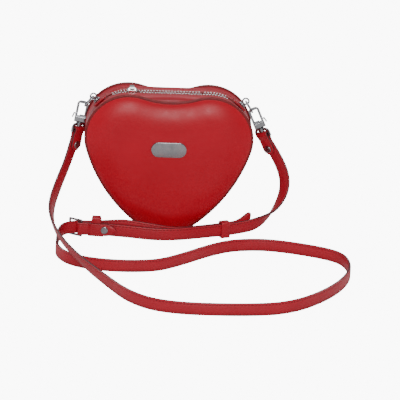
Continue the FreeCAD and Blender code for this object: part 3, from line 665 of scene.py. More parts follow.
@dataclass(frozen=True)
class Stitch:
    """One stitch of thick thread."""

    pitch: float = 0.0033
    long: float = 0.0012
    wide: float = 0.00032
    high: float = 0.00026
    segments: int = 6
    rings: int = 5

    def template(self) -> tuple[list[Vector], list[tuple[int, ...]]]:
        """Places and faces of one stitch along X, its middle on the plane z = 0."""
        bpy.ops.object.select_all(action="DESELECT")
        bpy.ops.mesh.primitive_uv_sphere_add(segments=self.segments, ring_count=self.rings, radius=1)
        ball = bpy.context.active_object
        with Bench.editing(ball):
            bpy.ops.transform.resize(value=(self.wide, self.high, self.long))
        places = [Vector((v.co.z, v.co.x, v.co.y)) for v in ball.data.vertices]
        faces = [tuple(p.vertices) for p in ball.data.polygons]
        mesh = ball.data
        bpy.data.objects.remove(ball)
        bpy.data.meshes.remove(mesh)
        return places, faces

    def row(self, name: str, spots: Sequence[tuple[Vector, Vector, Vector]]) -> bpy.types.Object:
        """Copy the stitch to every spot, as one piece.

        Args:
            name: name of the piece.
            spots: place, direction and outward direction of each stitch.

        Returns:
            The piece.
        """
        places, faces = self.template()
        all_places: list[Vector] = []
        all_faces: list[tuple[int, ...]] = []
        for place, along, out in spots:
            side = out.cross(along).normalized()
            start = len(all_places)
            all_places += [place + along * p.x + side * p.y + out * p.z for p in places]
            all_faces += [tuple(start + i for i in face) for face in faces]
        mesh = bpy.data.meshes.new(name)
        mesh.from_pydata(all_places, [], all_faces)
        piece = bpy.data.objects.new(name, mesh)
        bpy.context.scene.collection.objects.link(piece)
        Bench.smooth(piece, Bench.rounded)
        return piece

    def spots_on(
        self, line: Sequence[Vector], outs: Sequence[Vector], start: float = 0.0, end: float = 0.0
    ) -> list[tuple[Vector, Vector, Vector]]:
        """Even spots along a line of places.

        Args:
            line: places along the seam.
            outs: outward direction at each place.
            start: length left free at the start.
            end: length left free at the end.

        Returns:
            Place, direction and outward direction of each stitch.
        """
        marks = [0.0]
        for a, b in zip(line, line[1:]):
            marks.append(marks[-1] + (b - a).length)
        count = int((marks[-1] - start - end) / self.pitch)
        spots = []
        i = 0
        for k in range(count):
            at = start + (k + 0.5) * self.pitch
            while marks[i + 1] < at:
                i += 1
            share = (at - marks[i]) / (marks[i + 1] - marks[i])
            along = (line[i + 1] - line[i]).normalized()
            out = outs[i].lerp(outs[i + 1], share)
            out = (out - along * out.dot(along)).normalized()
            spots.append((line[i].lerp(line[i + 1], share), along, out))
        return spots


@dataclass
class Strap:
    """Stitched flat strap that follows its smooth line."""

    name: str
    points: Sequence[RoutePoint]
    section: StrapSection = StrapSection()
    stitch: Stitch = Stitch()
    steps: int = 14
    point_length: float = 0.0
    point_width: float = 0.3

    def __post_init__(self) -> None:
        """Read the smooth line."""
        self.line = Spline(self.points, self.steps, self.section.width / 2)
        self.places = self.line.frames()

    def narrowing(self) -> list[float]:
        """Share of the full width at each place, less than one at a pointed end."""
        left = self.line.length()
        shares = []
        for i, place in enumerate(self.line.middle):
            if i:
                left -= (place - self.line.middle[i - 1]).length
            share = 1.0
            if self.point_length and left < self.point_length:
                near = math.sqrt(max(left, 0) / self.point_length)
                share = self.point_width + (1 - self.point_width) * near
            shares.append(share)
        return shares

    def band(self) -> bpy.types.Object:
        """Loft the section along the line, closed at both ends, and mark its painted edges."""
        outline = self.section.outline()
        rows = []
        for (place, _, width, out), share in zip(self.places, self.narrowing()):
            rows.append([place + width * (across * share) + out * high for across, high in outline])
        for end in (0, -1):
            middle = sum(rows[end][:-1], Vector()) / len(rows[end][:-1])
            cap = [middle.copy() for _ in outline]
            rows = [cap] + rows if end == 0 else rows + [cap]
        piece = Bench.lay(self.name, rows)
        painted = self.section.edge_columns()
        columns = len(outline) - 1
        last = len(rows) - 2
        for face in piece.data.polygons:
            row, column = divmod(face.index, columns)
            face.material_index = 1 if column in painted or row in (0, last) else 0
        Bench.close(piece)
        Bench.smooth(piece, Bench.rolled)
        return piece

    def seams(self, free: float) -> bpy.types.Object:
        """Sew both edges on both faces.

        Args:
            free: length without stitches at each end.

        Returns:
            All stitches of the strap as one piece.
        """
        inset = self.section.width / 2 - self.section.seam_in
        high = self.section.thick / 2 - self.section.groove / 2
        spots = []
        for face in (-1, 1):
            for edge in (-1, 1):
                line = [p + w * (edge * inset) + n * (face * high) for p, _, w, n in self.places]
                outs = [n * face for _, _, _, n in self.places]
                spots += self.stitch.spots_on(line, outs, free, free + self.point_length)
        return self.stitch.row(self.name + "_stitches", spots)


@dataclass(frozen=True)
class FoldedEnd:
    """End of a strap folded round a bar, its layers along x, the bar on z, the main layer on +y."""

    name: str
    bar: Vector
    along: Vector
    width: Vector
    length: float
    bar_radius: float
    straight: float = 0.008
    layer: float = 0.0013
    tip_length: float = 0.0045
    tip_width: float = 0.35
    over_keeper: tuple[float, float] | None = None
    keeper_layer: float = 0.0024
    keeper_run: float = 0.004
    bar_gap: float = 0.0006
    overlap: float = 0.001
    near_share: float = 0.55
    flare_share: float = 0.4
    flare: float = 1.6
    bulge: float = 1.05
    steps: int = 8
    section: StrapSection = StrapSection(thick=0.0022)

    def axes(self) -> tuple[Vector, Vector, Vector]:
        """Directions along the strap, across its layers and along its width."""
        w = self.width.normalized()
        e = (self.along - w * self.along.dot(w)).normalized()
        return e, w.cross(e).normalized(), w

    def main_end(self) -> Vector:
        """Middle of the main layer where the strap goes on."""
        e, n, _ = self.axes()
        return self.bar + e * self.straight + n * self.layer

    def route(self) -> Strap:
        """Short strap from the main layer round the bar to the folded tip."""
        e, n, w = self.axes()
        reach = self.bar_radius + self.section.thick / 2 + self.bar_gap
        near = self.straight * self.near_share
        bend = [
            (self.straight + self.overlap, self.layer),
            (near, self.layer),
            (reach * self.flare_share, self.layer * self.flare),
            (-reach, reach * self.bulge),
            (-reach, -reach * self.bulge),
            (reach * self.flare_share, -self.layer * self.flare),
            (near, -self.layer),
            (self.straight, -self.layer),
        ]
        if self.over_keeper:
            first, last = self.over_keeper
            bend += [(x, -self.keeper_layer) for x in (first, last)]
            bend.append((last + self.keeper_run, -self.layer))
        bend.append((self.length, -self.layer))
        points = [RoutePoint(tuple(self.bar + e * x + n * y), tuple(w)) for x, y in bend]
        return Strap(
            self.name,
            points,
            self.section,
            steps=self.steps,
            point_length=self.tip_length,
            point_width=self.tip_width,
        )


@dataclass
class Panel:
    """Stuffed leather face of the purse: rolled at the seam, full over the middle."""

    name: str
    heart: Heart
    out: int
    crown: float
    replaced: tuple[str, ...]
    seam_y: float = 0.022
    edge_inset: float = 0.0004
    run: float = 0.026
    soft: float = 0.5
    shoulder: float = 0.93
    pole: tuple[float, float] = (0.0, 0.088)
    edge_rings: int = 14
    middle_rings: int = 12
    fill: float = 0.85

    def place(self, depth: float) -> float:
        """The y of a place this far out of the seam's plane."""
        return self.out * (self.seam_y + depth)

    def rows(self) -> Rows:
        """Rings from the pole of the flat rear side over the edge to the pole of the crown."""
        x, z = self.pole
        ring = self.heart.ring(self.edge_inset, self.place(0))
        rows = [[Vector((x, self.place(0), z)) for _ in ring], ring]
        for i in range(1, self.edge_rings + 1):
            turn = math.radians(90 * i / self.edge_rings)
            inset = self.edge_inset + self.run * (1 - math.cos(turn))
            rise = math.sin(turn) * (1 - self.soft + self.soft * math.sin(turn))
            rows.append(self.heart.ring(inset, self.place(self.crown * self.shoulder * rise)))
        last = rows[-1]
        for i in range(1, self.middle_rings + 1):
            share = i / self.middle_rings
            rise = self.shoulder + (1 - self.shoulder) * (1 - math.cos(math.pi * share)) / 2
            y = self.place(self.crown * rise)
            rows.append([Vector((x + (p.x - x) * (1 - share), y, z + (p.z - z) * (1 - share))) for p in last])
        return rows

    def build(self, finishes: Finishes) -> bpy.types.Object:
        """Build, close and dress the panel."""
        piece = Bench.lay(self.name, self.rows())
        Bench.close(piece)
        Bench.modify(piece, "SUBSURF", levels=1, render_levels=1)
        Bench.smooth(piece, Bench.stuffed)
        Bench.hand_over(piece, Body.PURSE, Slot.RED, [finishes.panel], self.replaced)
        return piece


@dataclass
class Welt:
    """Edge-painted seam round one face, rounded where it stands proud."""

    name: str
    heart: Heart
    out: int
    seam_y: float = 0.022
    proud: float = 0.0016
    inside: float = 0.0022
    deep: float = 0.0025
    lip: float = 0.0004
    round: float = 0.0009
    round_steps: int = 4

    def section(self) -> list[tuple[float, float]]:
        """Closed section as inset and y, its outer corners rounded."""
        front, rear = self.seam_y + self.lip, self.seam_y - self.deep
        places = [(self.inside, rear), (self.inside, front)]
        for corner_y, first in ((front - self.round, 0), (rear + self.round, 90)):
            for i in range(self.round_steps + 1):
                turn = math.radians(first + 90 * i / self.round_steps)
                inset = self.round - self.proud - self.round * math.sin(turn)
                places.append((inset, corner_y + self.round * math.cos(turn)))
        return places + [places[0]]

    def build(self, finishes: Finishes) -> bpy.types.Object:
        """Sweep the section round the heart."""
        piece = Bench.lay(self.name, [self.heart.ring(inset, self.out * y) for inset, y in self.section()])
        Bench.close(piece)
        Bench.smooth(piece, Bench.rolled)
        welt = self.name.replace("_seam", "_welt")
        return Bench.hand_over(piece, Body.PURSE, Slot.EDGE, [finishes.seam], [welt])


@dataclass
class Gusset:
    """Leather band round the sides and the tip, bowed in a little between its seams."""

    heart: Heart
    half: float = 0.0195
    thick: float = 0.0018
    bow: float = 0.0008
    top_angle: float = 51.7
    rows_across: int = 10

    def build(self, finishes: Finishes) -> bpy.types.Object:
        """Loft the band and give it its thickness."""
        rows = []
        for i in range(self.rows_across + 1):
            side = 2 * i / self.rows_across - 1
            rows.append(self.line(self.bow * (1 - side * side), self.half * side))
        piece = Bench.lay("gusset_leather", rows)
        thicken(piece, self.thick, Vector((0, 0, self.heart.lobe[1])))
        Bench.smooth(piece)
        return Bench.hand_over(piece, Body.PURSE, Slot.RED, [finishes.strip], ["gusset_band"])

    def line(self, inset: float, y: float) -> list[Vector]:
        """Outline below the zip's ends, from the right one round the tip to the left one."""
        places = []
        arcs = self.heart.arcs(inset)[1:]
        for k, (cx, cz, radius, start, end, steps) in enumerate(arcs):
            start = self.top_angle if k == 0 else start
            end = 180 - self.top_angle if k == len(arcs) - 1 else end
            for i in range(steps + (k == len(arcs) - 1)):
                angle = math.radians(start + (end - start) * i / steps)
                places.append(Heart.on_floor(cx + radius * math.cos(angle), y, cz + radius * math.sin(angle)))
        return places


def thicken(
    piece: bpy.types.Object, thick: float, middle: Vector, bevel: float = 0.0004, sharp: float = 60.0
) -> None:
    """Turn an open sheet's faces away from a middle place, and give it thickness on the inner side.

    Args:
        piece: open sheet.
        thick: wall.
        middle: place that the sheet faces away from.
        bevel: rounding of the wall's rim.
        sharp: angle in degrees above which an edge is rounded.
    """
    face = piece.data.polygons[len(piece.data.polygons) // 2]
    if face.normal.dot(face.center - middle) < 0:
        with Bench.editing(piece):
            bpy.ops.mesh.flip_normals()
    Bench.modify(piece, "SOLIDIFY", thickness=thick, offset=-1.0, use_even_offset=True)
    if bevel:
        limit = math.radians(sharp)
        Bench.modify(piece, "BEVEL", width=bevel, segments=2, limit_method="ANGLE", angle_limit=limit)


@dataclass
class ZipStrip:
    """Leather strip from one seam to the zip, split where its middle part folds out."""

    side: str
    heart: Heart
    out: int
    seam_y: float = 0.0195
    root_y: float = 0.018
    bend_y: float = 0.0125
    zip_y: float = 0.0065
    zip_drop: float = 0.0006
    flap_half: float = 0.031
    gap: float = 0.00006
    end_angle: float = 52.0
    thick: float = 0.0016
    slope_share: float = 0.42
    swell: float = 0.0005
    roll: float = 0.0006
    roll_from: float = 0.85
    middle_steps: int = 26
    end_steps: int = 16
    across_steps: int = 9
    stitch: Stitch = Stitch(pitch=0.0030, long=0.0011)
    stitch_in: float = 0.0022
    stitch_free: float = 0.001

    def top(self, x: float, drop: float) -> float:
        """Height of the seam (drop 0) or of the zip's line at x, on the lobes' circles."""
        lobe_x, lobe_z = self.heart.lobe
        notch_z, notch_r = self.heart.notch
        radius = self.heart.lobe_radius - drop
        if abs(x) > lobe_x or not drop:
            reach = max(radius * radius - (abs(x) - lobe_x) ** 2, 0.0)
            height = lobe_z + math.sqrt(reach)
            joint = notch_r * lobe_x / (notch_r + self.heart.lobe_radius)
            return notch_z - math.sqrt(notch_r**2 - x * x) if abs(x) < joint else height
        return lobe_z + radius

    def columns(self, split: float) -> list[float]:
        """Places along x, with one on each side of the split."""
        lobe_x, _ = self.heart.lobe
        ends = []
        for i in range(self.end_steps):
            angle = math.radians(self.end_angle + (90 - self.end_angle) * i / self.end_steps)
            ends.append(lobe_x + self.heart.lobe_radius * math.cos(angle))
        middle = [split * (1 - 2 * i / self.middle_steps) for i in range(self.middle_steps + 1)]
        between = [lobe_x, (lobe_x + split) / 2]
        right = ends + between
        return right + middle + [-x for x in reversed(right)]

    def point(self, x: float, y: float) -> Vector:
        """Place on the strip: it slopes up from the seam, then runs level and rolls down at the zip."""
        share = (self.seam_y - y) / (self.seam_y - self.zip_y)
        seam, edge = self.top(x, 0.0), self.top(x, self.zip_drop)
        swell = self.swell * 4 * share * (1 - share)
        roll = self.roll * max(0.0, (share - self.roll_from) / (1 - self.roll_from)) ** 2
        rise = 1 - (1 - min(1.0, share / self.slope_share)) ** 2
        return Vector((x, self.out * y, seam + (edge - seam) * rise + swell - roll))

    def sheet(self, name: str, split: float, root: float, flap: bool) -> bpy.types.Object:
        """One part of the strip.

        Args:
            name: name of the piece.
            split: half length of the folding part's zone.
            root: its y at the fold.
            flap: whether this is the folding part.

        Returns:
            The sheet with its thickness.
        """
        ys = [self.seam_y, root] + [
            root + (self.zip_y - root) * i / self.across_steps for i in range(1, self.across_steps + 1)
        ]
        columns = self.columns(split)
        piece = Bench.lay(name, [[self.point(x, y) for x in columns] for y in ys])
        Bench.only(piece)
        bpy.ops.object.mode_set(mode="EDIT")
        bpy.ops.mesh.select_all(action="DESELECT")
        bpy.ops.object.mode_set(mode="OBJECT")
        for face in piece.data.polygons:
            inside = abs(face.center.x) < split and abs(face.center.y) < root
            face.select = inside != flap
        bpy.ops.object.mode_set(mode="EDIT")
        bpy.ops.mesh.delete(type="FACE")
        bpy.ops.object.mode_set(mode="OBJECT")
        thicken(piece, self.thick, Vector((0, 0, self.heart.lobe[1])), 0.0)
        Bench.smooth(piece)
        return piece

    def build(self, finishes: Finishes) -> None:
        """Build the folding part, the fixed ends and the row of stitches on each."""
        flap_body = Body.FRONT_FLAP if self.out < 0 else Body.REAR_FLAP
        wide = self.flap_half + self.gap
        flap = self.sheet(self.side + "_top_flap", self.flap_half, self.root_y, True)
        ends = self.sheet(self.side + "_top_ends", wide, self.root_y + self.gap, False)
        Bench.hand_over(flap, None, Slot.RED, [finishes.strip], [self.side + "_strip_flap"])
        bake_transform(flap)
        Bench.hand_over(ends, Body.PURSE, Slot.RED, [finishes.strip], [self.side + "_strip_ends"])
        y = self.zip_y + self.stitch_in
        up = Vector((0, 0, 1))
        spans = [
            (self.side + "_flap_stitches", flap_body, -self.flap_half, self.flap_half),
            (self.side + "_right_stitches", Body.PURSE, wide, None),
            (self.side + "_left_stitches", Body.PURSE, None, -wide),
        ]
        columns = sorted(self.columns(wide))
        for name, body, low, high in spans:
            kept = [x for x in columns if (low is None or x >= low) and (high is None or x <= high)]
            line = [self.point(x, y) for x in kept]
            spots = self.stitch.spots_on(line, [up] * len(line), self.stitch_free, self.stitch_free)
            stitches = self.stitch.row(name, spots)
            Bench.hand_over(stitches, body, Slot.EDGE, [finishes.thread])


@dataclass(frozen=True)
class ZipTeeth:
    """One row of cast zip teeth with rounded heads."""

    side: str
    heart: Heart
    out: int
    head: Stitch = Stitch(pitch=0.0029, long=0.0008, wide=0.0011, high=0.0012, segments=10, rings=8)
    nose: Stitch = Stitch(pitch=0.0029, long=0.0004, wide=0.0017, high=0.0006, segments=8, rings=6)
    head_out: float = 0.0034
    nose_out: float = 0.0010
    drop: float = 0.0006
    depth: float = 0.0009
    reach: float = 0.0577
    flap_half: float = 0.031
    margin: float = 0.0006

    def spot(self, run: float, aside: float) -> tuple[Vector, Vector, Vector]:
        """Place, direction and outward direction on a tooth.

        Args:
            run: how far along the zip from its middle.
            aside: how far from the middle of the chain.

        Returns:
            Place, direction along the zip and direction away from the purse.
        """
        lobe_x, lobe_z = self.heart.lobe
        radius = self.heart.lobe_radius - self.drop
        turn = math.copysign(max(abs(run) - lobe_x, 0.0) / radius, run)
        out = Vector((math.sin(turn), 0, math.cos(turn)))
        x = max(-lobe_x, min(lobe_x, run))
        place = Vector((x, self.out * aside, lobe_z)) + out * (radius - self.depth)
        return place, Vector((math.cos(turn), 0, -math.sin(turn))), out

    def build(self, finishes: Finishes) -> None:
        """Build the teeth of the folding part and of the fixed ends."""
        count = int(self.reach / self.head.pitch)
        shift = -self.out * self.head.pitch / 4
        runs = [i * self.head.pitch + shift for i in range(-count, count + 1)]
        flap_body = Body.FRONT_FLAP if self.out < 0 else Body.REAR_FLAP
        rows = {
            "flap": (flap_body, [run for run in runs if abs(run) < self.flap_half - self.margin]),
            "ends": (Body.PURSE, [run for run in runs if abs(run) > self.flap_half + self.margin]),
        }
        for part, (body, kept) in rows.items():
            noses = self.nose.row(f"{self.side}_{part}_noses", [self.spot(run, self.nose_out) for run in kept])
            piece = self.head.row(f"{self.side}_{part}_teeth", [self.spot(run, self.head_out) for run in kept])
            Bench.only(piece)
            noses.select_set(True)
            bpy.ops.object.join()
            Bench.hand_over(piece, body, Slot.ZIP, [finishes.zip], [f"{self.side}_teeth_{part}"])


@dataclass
class EndTab:
    """Rounded leather tab over one end of the zip, under the stud."""

    side: str
    heart: Heart
    sign: int
    low_angle: float = 36.0
    high_angle: float = 57.0
    half: float = 0.007
    lift: float = 0.00015
    thick: float = 0.0016
    square: float = 5.0
    along_steps: int = 16
    across_steps: int = 12
    stitch: Stitch = Stitch(pitch=0.0024, long=0.0009, wide=0.00026, high=0.0002)
    stitch_in: float = 0.0013

    def point(self, across: float, along: float, inset: float = 0.0) -> Vector:
        """Place on the tab's outer face.

        Args:
            across: -1 to 1 over its width.
            along: -1 to 1 over its length.
            inset: distance inside its rim.

        Returns:
            The place.
        """
        radius = self.heart.lobe_radius + self.lift + self.thick
        span = math.radians(self.high_angle - self.low_angle) / 2 - inset / radius
        angle = math.radians((self.low_angle + self.high_angle) / 2) + along * span
        half = (self.half - inset) * (1 - abs(along) ** self.square) ** (1 / self.square)
        x, z = self.heart.lobe
        return Vector((self.sign * (x + radius * math.cos(angle)), half * across, z + radius * math.sin(angle)))

    def build(self, finishes: Finishes) -> None:
        """Build the tab and the stitches round its rim."""
        ends = [math.sin(math.pi * (i / self.along_steps - 0.5)) for i in range(self.along_steps + 1)]
        sides = [2 * i / self.across_steps - 1 for i in range(self.across_steps + 1)]
        piece = Bench.lay(self.side + "_end_tab", [[self.point(s, e) for s in sides] for e in ends])
        Bench.close(piece)
        x, z = self.heart.lobe
        thicken(piece, self.thick, Vector((self.sign * x, 0, z)))
        Bench.smooth(piece)
        Bench.hand_over(piece, Body.PURSE, Slot.RED, [finishes.strip], [self.side + "_tab"])
        rim = [self.point(1, e, self.stitch_in) for e in ends]
        rim += [self.point(-1, e, self.stitch_in) for e in reversed(ends)]
        outs = [Vector((p.x - self.sign * x, 0, p.z - z)).normalized() for p in rim]
        rim.append(rim[0])
        outs.append(outs[0])
        row = self.stitch.row(self.side + "_tab_stitches", self.stitch.spots_on(rim, outs))
        Bench.hand_over(row, Body.PURSE, Slot.EDGE, [finishes.thread])


@dataclass
class Keeper:
    """Leather loop round the layers of the strap."""

    name: str
    body: Body
    node: str
    middle: Vector
    along: Vector
    front: float
    rear: float
    half_width: float = 0.0062
    lift: float = 0.0
    taper: float = 0.0
    gap: float = 0.00035
    wall: float = 0.0013
    length: float = 0.009
    inner_round: float = 0.000385
    rim_share: float = 0.3
    corner_steps: int = 4

    def loop(self, out: float) -> list[tuple[float, float]]:
        """Closed rounded rectangle across the strap.

        Args:
            out: distance outside the loop's inner face.

        Returns:
            Places across the layers and along the width.
        """
        low, high = self.front - self.gap - out, self.rear + self.gap + out
        tall = self.half_width + self.gap + out
        radius = self.inner_round + out
        places = []
        for cx, cz, first in (
            (high - radius, tall - radius, 0),
            (low + radius, tall - radius, 90),
            (low + radius, -tall + radius, 180),
            (high - radius, -tall + radius, 270),
        ):
            for i in range(self.corner_steps + 1):
                turn = math.radians(first + 90 * i / self.corner_steps)
                places.append((cx + radius * math.cos(turn), cz + radius * math.sin(turn)))
        return places + [places[0]]

    def build(self, finishes: Finishes) -> bpy.types.Object:
        """Sweep the wall's section round the loop."""
        half = self.length / 2
        soft = self.wall * self.rim_share
        section = [
            (-half, soft),
            (-half, self.wall - soft),
            (-half + soft, self.wall),
            (half - soft, self.wall),
            (half, self.wall - soft),
            (half, soft),
            (half - soft, 0.0),
            (-half + soft, 0.0),
            (-half, soft),
        ]
        e = self.along.normalized()
        up = Vector((0, 0, 1))
        n = up.cross(e)
        tall = self.half_width + self.gap + self.wall
        rows = [
            [
                self.middle + e * (x * (1 - self.taper * z / tall)) + n * y + up * (z + self.lift)
                for y, z in self.loop(out)
            ]
            for x, out in section
        ]
        piece = Bench.lay(self.name, rows)
        Bench.close(piece)
        Bench.smooth(piece, Bench.rolled)
        return Bench.hand_over(piece, self.body, Slot.STRAP, [finishes.strap], [self.node])


def joint_place(name: str) -> Vector:
    """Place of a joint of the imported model."""
    return next(Vector(j["pos_m"]) for j in frame["joints"] if j["name"] == name)


class Straps:
    """Both straps with their folded ends and keepers."""

    heel_along = Vector((0.99357, -0.1132, 0.0))
    left_width = Vector((0.6984, 0.7071, -0.1106))
    right_width = Vector((0.7296, -0.6018, 0.3248))
    eye_bar = 0.0012
    buckle_bar = 0.0011
    hook_fold = 0.020
    buckle_fold = 0.034
    fixed_from_bar = 0.0142
    slide_share = 0.34
    slide_gap = 0.0007
    far_layer = 0.0025
    layer_gap = 0.0002
    keeper_front = 0.0005
    half_thick = 0.0012
    stitch_free = 0.012
    tail_length = 0.015
    tip_width = 0.12
    fold_tip = 0.009
    over_keeper = (0.0092, 0.0192)
    fixed_half = 0.0082
    fixed_lift = 0.0022
    fixed_taper = 0.3
    fixed_length = 0.0115
    slide_points = slice(4, 6)
    long_points = (
        RoutePoint((-0.0955, -0.004, 0.066), (-0.52, -0.76, 0.39)),
        RoutePoint((-0.105, -0.020, 0.046), (-0.42, -0.55, 0.7)),
        RoutePoint((-0.112, -0.050, 0.033), (-0.36, -0.4, 0.84)),
        RoutePoint((-0.110, -0.086, 0.027), (-0.32, 0.0, 0.95)),
        RoutePoint((-0.099, -0.122, 0.021), (-0.44, 0.0, 0.9)),
        RoutePoint((-0.0825, -0.152, 0.014), (-0.42, 0.0, 0.9)),
        RoutePoint((-0.063, -0.181, 0.008), (-0.2, 0.0, 0.98)),
        RoutePoint((-0.0385, -0.229, 0.006)),
        RoutePoint((-0.0045, -0.254, 0.006)),
        RoutePoint((0.067, -0.254, 0.006)),
        RoutePoint((0.111, -0.243, 0.006)),
        RoutePoint((0.150, -0.198, 0.006)),
        RoutePoint((0.172, -0.147, 0.006)),
        RoutePoint((0.1705, -0.105, 0.006)),
        RoutePoint((0.1545, -0.085, 0.006)),
        RoutePoint((0.106, -0.065, 0.006)),
        RoutePoint((0.076, -0.065, 0.006)),
        RoutePoint((0.049, -0.0765, 0.006)),
        RoutePoint((0.001, -0.1275, 0.006)),
        RoutePoint((-0.022, -0.1385, 0.006)),
        RoutePoint((-0.060, -0.1395, 0.006)),
        RoutePoint((-0.092, -0.127, 0.006)),
        RoutePoint((-0.1055, -0.102, 0.006)),
        RoutePoint((-0.105, -0.080, 0.007)),
        RoutePoint((-0.104, -0.062, 0.0083)),
        RoutePoint((-0.1002, -0.0455, 0.0092)),
        RoutePoint((-0.0915, -0.0375, 0.0092)),
        RoutePoint((-0.081, -0.0351, 0.0092)),
        RoutePoint((-0.0701, -0.0372, 0.0100)),
        RoutePoint((-0.0545, -0.039, 0.0118)),
        RoutePoint((-0.039, -0.0409, 0.0138)),
        RoutePoint((-0.014, -0.0436, 0.0110)),
        RoutePoint((0.0074, -0.0422, 0.0072)),
        RoutePoint((0.029, -0.0353, 0.0073)),
        RoutePoint((0.062, -0.0222, 0.0079)),
        RoutePoint((0.0755, -0.0162, 0.0097)),
        RoutePoint((0.0822, -0.0132, 0.0214)),
    )
    short_points = (
        RoutePoint((0.1105, -0.003, 0.070), (0.72, -0.62, 0.3)),
        RoutePoint((0.1165, -0.009, 0.048), (0.62, -0.5, 0.6)),
        RoutePoint((0.1075, -0.016, 0.027), (0.6, -0.3, 0.74)),
        RoutePoint((0.090, -0.020, 0.013), (0.62, -0.1, 0.78)),
        RoutePoint((0.072, -0.0215, 0.0078)),
        RoutePoint((0.030, -0.038, 0.0074)),
        RoutePoint((0.008, -0.045, 0.0071)),
        RoutePoint((-0.014, -0.0465, 0.0072)),
        RoutePoint((-0.0393, -0.0439, 0.0088)),
    )

    def __init__(self) -> None:
        """Place the folded ends on their bars."""
        joints = ("left_hook_swivel", "right_hook_swivel", "prong_swing")
        left, right, heel = (joint_place(name) for name in joints)
        to_long = Vector(self.long_points[0].place) - left
        to_short = Vector(self.short_points[0].place) - right
        hook = (self.hook_fold, self.eye_bar)
        self.left = FoldedEnd("left_strap_fold", left, to_long, self.left_width, *hook)
        self.right = FoldedEnd("right_strap_fold", right, to_short, self.right_width, *hook)
        self.heel = FoldedEnd(
            "buckle_fold",
            heel,
            self.heel_along,
            Vector((0, 0, 1)),
            self.buckle_fold,
            self.buckle_bar,
            tip_length=self.fold_tip,
            tip_width=self.tip_width,
            over_keeper=self.over_keeper,
        )

    def sewn(self, strap: Strap, finishes: Finishes, *replaced: str) -> list[bpy.types.Object]:
        """Build one band with its stitches.

        Args:
            strap: its route and section.
            finishes: the purse's materials.
            replaced: CAD nodes it stands for.

        Returns:
            The band and its stitches.
        """
        band = strap.band()
        Bench.hand_over(band, Body.PURSE, Slot.STRAP, [finishes.strap, finishes.edge], replaced)
        stitches = strap.seams(self.stitch_free)
        Bench.hand_over(stitches, Body.PURSE, Slot.STRAP, [finishes.thread])
        return [band, stitches]

    def build(self, finishes: Finishes) -> None:
        start = RoutePoint(tuple(self.left.main_end()), tuple(-self.left.axes()[2]))
        long = Strap(
            "long_strap_band",
            (start, *self.long_points),
            point_length=self.tail_length,
            point_width=self.tip_width,
        )
        first = RoutePoint(tuple(self.right.main_end()), tuple(self.right.axes()[2]))
        last = RoutePoint(tuple(self.heel.main_end()))
        short = Strap("short_strap_band", (first, *self.short_points, last))
        long_band, long_seams = self.sewn(long, finishes, "long_strap")
        short_band, short_seams = self.sewn(short, finishes, "short_strap")
        folds = [self.sewn(end.route(), finishes) for end in (self.left, self.right, self.heel)]
        front, rear = self.keeper_front, self.far_layer + self.layer_gap + 2 * self.half_thick
        fixed = Keeper(
            "fixed_loop",
            Body.PURSE,
            "fixed_keeper",
            self.heel.bar + self.heel_along * self.fixed_from_bar,
            self.heel_along,
            front,
            rear,
            half_width=self.fixed_half,
            lift=self.fixed_lift,
            taper=self.fixed_taper,
            length=self.fixed_length,
        ).build(finishes)
        a, b = (Vector(point.place) for point in self.short_points[self.slide_points])
        sliding = Keeper(
            "sliding_loop",
            Body.KEEPER,
            "sliding_keeper",
            a.lerp(b, self.slide_share),
            a - b,
            -self.half_thick,
            3 * self.half_thick + self.layer_gap,
            gap=self.slide_gap,
        ).build(finishes)
        long.line.length()
        short.line.length()


@dataclass(frozen=True)
class Viewpoint:
    """The photograph's camera: a long lens, a little above the purse and to its left, slightly rolled."""

    turn: float = 3.1
    rise: float = 18.0
    roll: float = 2.75
    distance: float = 4.0
    sensor_mm: float = 36.0
    image_px: float = 400.0
    px_per_metre: float = 1037.5
    anchor: tuple[float, float, float] = (0.0, 0.0, 0.138)
    anchor_px: tuple[float, float] = (170.1, 90.75)
    far: float = 20.0

    def build(self) -> None:
        """Create the camera."""
        a, e, roll = (math.radians(v) for v in (self.turn, self.rise, self.roll))
        right = Vector((math.cos(a), -math.sin(a), 0))
        up = Vector((math.sin(a) * math.sin(e), math.cos(a) * math.sin(e), math.cos(e)))
        ahead = Vector((math.sin(a) * math.cos(e), math.cos(a) * math.cos(e), -math.sin(e)))
        cos, sin = math.cos(roll), math.sin(roll)
        right, up = right * cos + up * sin, up * cos - right * sin
        middle = self.image_px / 2
        across = (middle - self.anchor_px[0]) / self.px_per_metre
        down = (middle - self.anchor_px[1]) / self.px_per_metre
        place = Vector(self.anchor) + right * across - up * down - ahead * self.distance
        data = bpy.data.cameras.new("photo_camera")
        data.sensor_width = self.sensor_mm
        data.lens = self.sensor_mm * self.distance * self.px_per_metre / self.image_px
        data.clip_end = self.far
        camera = bpy.data.objects.new("photo_camera", data)
        camera.matrix_world = Matrix((right, up, -ahead)).transposed().to_4x4()
        camera.matrix_world.translation = place
        bpy.context.scene.collection.objects.link(camera)
        bpy.context.scene.camera = camera


@dataclass(frozen=True)
class Softbox:
    """One large soft lamp that faces the purse."""

    name: str
    place: tuple[float, float, float]
    size: float
    watts: float
    target: tuple[float, float, float] = (0.0, -0.02, 0.08)

    def build(self) -> None:
        """Create the lamp."""
        data = bpy.data.lights.new(self.name, "AREA")
        data.size = self.size
        data.energy = self.watts
        lamp = bpy.data.objects.new(self.name, data)
        lamp.location = self.place
        lamp.rotation_euler = (Vector(self.target) - Vector(self.place)).to_track_quat("-Z", "Y").to_euler()
        bpy.context.scene.collection.objects.link(lamp)


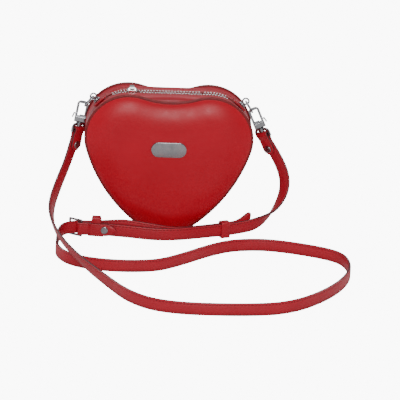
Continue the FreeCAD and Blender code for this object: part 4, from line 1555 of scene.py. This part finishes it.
class Studio:
    """White floor, white surround and soft lamps."""

    surround = (1.0, 1.0, 1.0, 1.0)
    surround_strength = 0.3
    floor_tone = (0.6, 0.6, 0.6, 1.0)
    floor_glow = 9.0
    floor_half = 6.0
    lamps = (
        Softbox("top_softbox", (0.1, 0.4, 1.5), 1.2, 7.0),
        Softbox("front_softbox", (0.0, -2.2, 1.15), 1.0, 24.5),
        Softbox("left_softbox", (-1.6, 0.8, 1.0), 1.0, 15.0),
        Softbox("right_softbox", (1.6, 0.8, 1.0), 0.8, 11.0),
    )

    def build(self) -> None:
        """Build the surround, the floor and the lamps."""
        world = bpy.data.worlds.new("white_surround")
        world.use_nodes = True
        surface = world.node_tree.nodes["Background"]
        surface.inputs["Color"].default_value = self.surround
        surface.inputs["Strength"].default_value = self.surround_strength
        bpy.context.scene.world = world
        bpy.ops.object.select_all(action="DESELECT")
        bpy.ops.mesh.primitive_plane_add(size=2 * self.floor_half)
        floor = bpy.context.active_object
        floor.name = "studio_floor"
        floor.data.materials.append(FloorFinish("pale_floor", self.floor_tone, self.floor_glow).make())
        for lamp in self.lamps:
            lamp.build()


class Fittings:
    """CAD nodes that stay as they are and take a finish."""

    def dress(self, finishes: Finishes) -> None:
        """Give every node the material of its slot in the record."""
        by_slot = {
            Slot.RED.value: finishes.strip,
            Slot.STRAP.value: finishes.strap,
            Slot.EDGE.value: finishes.edge,
            Slot.LINING.value: finishes.lining,
            Slot.TAPE.value: finishes.tape,
            Slot.ZIP.value: finishes.zip,
            Slot.METAL.value: finishes.metal,
            Slot.FOAM.value: finishes.foam,
        }
        for part in frame["record"]["subparts"]:
            node = frame["nodes"][part["node"]]
            node.data.materials.clear()
            node.data.materials.append(by_slot[part["material_slot"]])


def main() -> None:
    """Build every piece in order."""
    logging.basicConfig(level=logging.INFO, format="%(message)s")
    finishes = Finishes()
    heart = Heart()
    Fittings().dress(finishes)
    Viewpoint().build()
    Straps().build(finishes)
    Panel("front_cushion", heart, -1, crown=0.0095, replaced=("front_panel", "front_foam")).build(finishes)
    Panel("back_cushion", heart, 1, crown=0.0055, replaced=("back_panel", "back_foam")).build(finishes)
    Welt("front_seam", heart, -1).build(finishes)
    Welt("back_seam", heart, 1).build(finishes)
    Gusset(heart).build(finishes)
    ZipStrip("front", heart, -1).build(finishes)
    ZipStrip("rear", heart, 1).build(finishes)
    ZipTeeth("front", heart, -1).build(finishes)
    ZipTeeth("rear", heart, 1).build(finishes)
    EndTab("left", heart, -1).build(finishes)
    EndTab("right", heart, 1).build(finishes)
    Studio().build()


if __name__ == "__main__":
    main()
